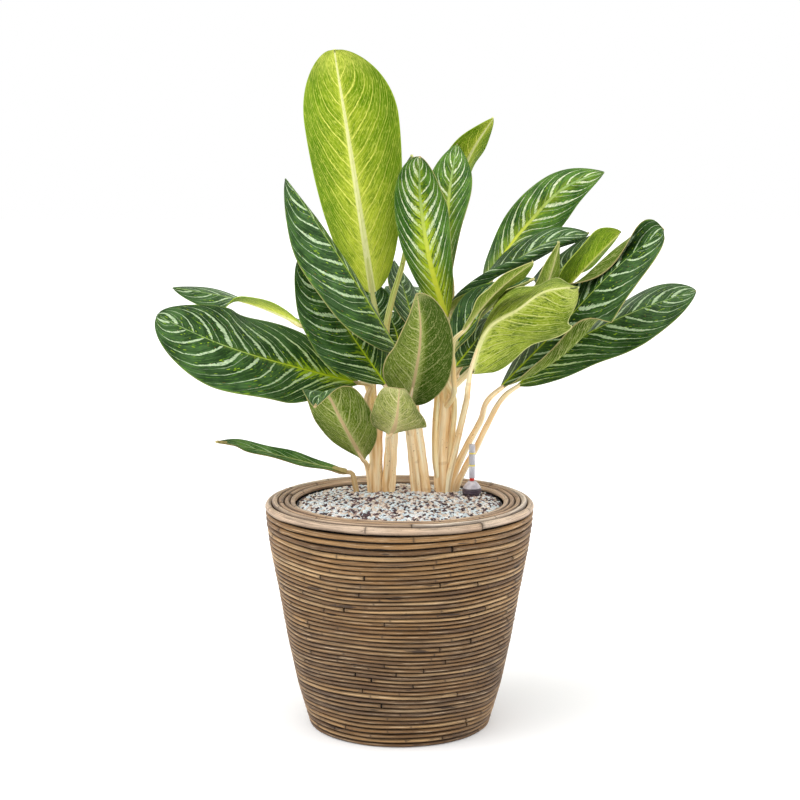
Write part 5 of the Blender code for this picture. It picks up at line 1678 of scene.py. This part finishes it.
@dataclass
class Leaves:
    """Every leaf blade, each its own closed thin piece with two finishes."""

    blades: dict[str, Blade] = field(default_factory=lambda: BLADES)
    rows: int = 84
    columns: int = 30
    edge: float = 0.0008
    body: float = 0.0013
    root_half: float = 0.0028
    tip_half: float = 0.0008
    roll_span: float = 0.20
    ridge: float = 0.0022
    rib_half: float = 0.0026
    crowding: float = 1.25
    phases: tuple[float, float] = (0.0, 1.9)
    steps: int = 60
    strips: int = 16
    levels: int = 200

    def half_width(self, shares: Array, shape: tuple[float, float, float]) -> Array:
        """Half width along a blade, 1 at its widest.

        Args:
            shares: places from root to tip.
            shape: widest place, power at the root, power at the tip.

        Returns:
            One number for each share.
        """
        widest, root_power, tip_power = shape
        root = np.sin(math.pi / 2 * np.clip(shares / widest, 0, 1)) ** root_power
        tip = np.cos(math.pi / 2 * np.clip((shares - widest) / (1 - widest), 0, 1)) ** tip_power
        return np.where(shares < widest, root, tip)

    def surface(self, blade: Blade, across: Array) -> tuple[Array, Array, Array, Array]:
        """The middle surface of a blade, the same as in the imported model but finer.

        Args:
            blade: the leaf.
            across: places across it from -1 to 1.

        Returns:
            Its points, its normals, the shares along it and the half width at each.
        """
        fine = np.linspace(0, 1, self.steps + 1)
        line = smooth_path(np.array(blade.path) / MM, fine)
        way = unit(np.gradient(line, axis=0))
        shares = np.sin(np.linspace(0, 1, self.rows + 1) * math.pi / 2 * 0.98 + 0.01)
        shares = 0.5 * (shares + np.linspace(0, 1, self.rows + 1))
        shares = (shares - shares[0]) / (shares[-1] - shares[0])
        centre = np.stack([np.interp(shares, fine, line[:, k]) for k in range(3)], 1)
        along = unit(np.stack([np.interp(shares, fine, way[:, k]) for k in range(3)], 1))
        face = unit(blade.face)[None] * (1 - shares)[:, None] + unit(blade.face_tip)[None] * shares[:, None]
        up = unit(face - (along * face).sum(1)[:, None] * along)
        side = np.cross(along, up)
        ends = self.root_half + (self.tip_half - self.root_half) * shares
        half = np.maximum(blade.width / MM / 2 * self.half_width(shares, blade.shape), ends)
        points = np.zeros((self.rows + 1, len(across), 3))
        for j, place in enumerate(across):
            reach = abs(place)
            second = int(place > 0)
            begin, stop = blade.roll_along[second]
            fade = np.sin(math.pi * np.clip((shares - begin) / (stop - begin), 0, 1)) ** 0.5
            root, tip = (blade.fold_a, blade.fold_b)[second]
            fold = np.radians(root + (tip - root) * shares)
            parts = (np.arange(self.strips) + 0.5) / self.strips * reach
            turn = np.clip((parts - blade.roll_from[second]) / self.roll_span, 0, 1)
            roll = math.radians(blade.roll[second]) * turn
            angles = fold[:, None] + math.radians(blade.cup) * parts[None, :] + roll[None, :] * fade[:, None]
            wide = half * np.interp(shares, np.linspace(0, 1, 5), blade.halves[second])
            out = np.cos(angles).mean(1) * reach * math.copysign(1, place) * wide
            lift = np.sin(angles).mean(1) * reach * wide
            ripple = np.sin(5 * math.pi * shares + self.phases[second]) * np.sin(math.pi * shares)
            lift += blade.wave / MM * reach**2 * ripple
            points[:, j] = centre + side * out[:, None] + up * lift[:, None]
        normals = unit(np.cross(np.gradient(points, axis=0), np.gradient(points, axis=1)))
        turn = np.sign((normals[:, len(across) // 2] * up).sum(1))
        return points, normals * turn[:, None, None], shares, half

    def shape(self, name: str, blade: Blade) -> Piece:
        """A blade as a grid bent to its form and thickened, with a raised rib underneath.

        Args:
            name: the leaf's name.
            blade: the leaf.

        Returns:
            The piece, with the UV maps "blade" and "span".
        """
        thing, row, column = Bench.sheet(f"blade_{name}", self.columns, self.rows)
        spread = np.linspace(-1, 1, self.columns + 1)
        across = np.sign(spread) * np.abs(spread) ** self.crowding
        points, normals, shares, half = self.surface(blade, across)
        rib = self.rib_half * (1 - shares) ** 0.7 + 0.0008
        lateral = across[None, :] * half[:, None]
        ridge = np.exp(-(lateral / rib[:, None]) ** 2) * (self.ridge * (1 - shares) ** 0.8 + 0.0004)[:, None]
        thick = self.edge + (self.body - self.edge) * (1 - np.abs(across))[None, :] * np.ones_like(lateral)
        top = points + normals * thick[:, :, None] / 2
        Bench.place_all(thing, top[row, column])
        line = smooth_path(np.array(blade.path) / MM, shares)
        length = np.linalg.norm(np.diff(line, axis=0), axis=1).sum()
        thing.data.uv_layers[0].name = "blade"
        Bench.paint_map(thing, "blade", np.stack([0.5 + 0.5 * across[column], shares[row]], 1))
        Bench.paint_map(thing, "span", np.stack([lateral[row, column], shares[row] * length], 1))
        total = (thick + ridge)[row, column]
        group = thing.vertex_groups.new(name="thickness")
        most = float(total.max())
        levels = np.rint(total / most * self.levels).astype(int)
        for level in np.unique(levels):
            group.add(np.flatnonzero(levels == level).tolist(), level / self.levels, "REPLACE")
        solid = thing.modifiers.new("thickness", "SOLIDIFY")
        solid.thickness = most
        solid.offset = -1.0
        solid.vertex_group = "thickness"
        solid.material_offset = 1
        solid.material_offset_rim = 1
        thing.data.materials.append(None)
        thing.data.materials.append(None)
        Bench.pick(thing)
        bpy.ops.object.modifier_apply(modifier=solid.name)
        thing.vertex_groups.clear()
        return thing

    def build(self) -> None:
        """Shapes and dresses every leaf."""
        for name, blade in self.blades.items():
            thing = self.shape(name, blade)
            Bench.smooth(thing, 60)
            finishes = [self.upper(name, blade), self.under(name, blade)]
            olive = blade.under in (Under.OLIVE, Under.SHADED, Under.SPECKLED)
            below = "leaf_dry" if blade.under is Under.DRY else "leaf_olive" if olive else "leaf_lime"
            shown = "leaf_dark" if blade.face[1] < 0.3 and blade.side is not Side.DRY else below
            Bench.hand_over(thing, finishes, shown, [f"leaf_{name}"])

    def upper(self, name: str, blade: Blade) -> Material:
        """The finish of a blade's upper side.

        Args:
            name: the blade's name.
            blade: the blade.

        Returns:
            The material.
        """
        looks = UPPERSIDES[blade.side]
        return UpperFinish(f"upper_{name}", blade.stripes, blade.phase, blade.strength, blade.lime,
                           **looks).material()

    def under(self, name: str, blade: Blade) -> Material:
        """The finish of a blade's underside."""
        looks = UNDERSIDES[blade.under]
        return UnderFinish(f"under_{name}", veins=blade.stripes + 1, phase=blade.phase, **looks).material()


@dataclass
class Studio:
    """Camera at the photograph's angle, white floor and soft light."""

    distance: float = 1.940
    height: float = 0.652
    pitch: float = 0.1476
    lens: float = 80.01
    shift: float = 0.000625
    sky: float = 1.0
    sides: float = 1.0
    top: float = 0.8
    lift: float = 0.10

    def build_camera(self) -> None:
        """Places the camera in front of the pot, looking slightly down."""
        data = bpy.data.cameras.new("camera")
        data.sensor_width = 36.0
        data.lens = self.lens
        data.shift_x = self.shift
        data.clip_end = 50.0
        camera = bpy.data.objects.new("camera", data)
        camera.location = (0.0, -self.distance, self.height)
        camera.rotation_euler = (math.pi / 2 - self.pitch, 0.0, 0.0)
        bpy.context.scene.collection.objects.link(camera)
        bpy.context.scene.camera = camera

    def build_floor(self) -> None:
        """A wide white floor."""
        Bench.clear()
        bpy.ops.mesh.primitive_plane_add(size=24.0, location=(0.0, 0.0, -0.0002))
        floor = Bench.made("floor")
        nodes = Nodes("floor_paper")
        grain = nodes.noise(nodes.place(), 6.0, 2.0)
        colour = nodes.mix(grain, screen(247, 247, 247), screen(250, 250, 250))
        constant = {"Roughness": 0.9, "Specular IOR Level": 0.1, "Emission Color": (1.0, 1.0, 1.0),
                    "Emission Strength": self.lift}
        floor.data.materials.append(nodes.finish(constant, colour=colour))

    def light(self, name: str, strength: float, angle: float, turn: Point) -> None:
        """One soft distant light.

        Args:
            name: its name.
            strength: its strength.
            angle: how wide it looks, in degrees.
            turn: its rotation in degrees.
        """
        data = bpy.data.lights.new(name, "SUN")
        data.energy = strength
        data.angle = math.radians(angle)
        lamp = bpy.data.objects.new(name, data)
        lamp.rotation_euler = tuple(math.radians(part) for part in turn)
        bpy.context.scene.collection.objects.link(lamp)

    def build(self) -> None:
        """Sets the camera, the floor, a white sky and two soft lights."""
        self.build_camera()
        self.build_floor()
        self.light("left", self.sides, 50.0, (60.0, 0.0, -70.0))
        self.light("right", self.sides * 0.7, 60.0, (66.0, 0.0, 80.0))
        self.light("top", self.top, 50.0, (16.0, 0.0, -60.0))
        scene = bpy.context.scene
        scene.world = scene.world or bpy.data.worlds.new("world")
        scene.world.use_nodes = True
        sky = scene.world.node_tree.nodes["Background"]
        sky.inputs["Color"].default_value = (1.0, 1.0, 1.0, 1.0)
        sky.inputs["Strength"].default_value = self.sky
        scene.view_settings.view_transform = "Standard"
        scene.view_settings.look = "None"


def main() -> None:
    """Builds every sub-assembly in order."""
    logging.basicConfig(level=logging.INFO, format="%(name)s: %(message)s")
    leaves = Leaves()
    for builder in (RattanPot(), Granulate(), Gauge(), Stems(leaves), leaves, Studio()):
        LOG.info("building %s", type(builder).__name__)
        builder.build()


if __name__ == "__main__":
    main()
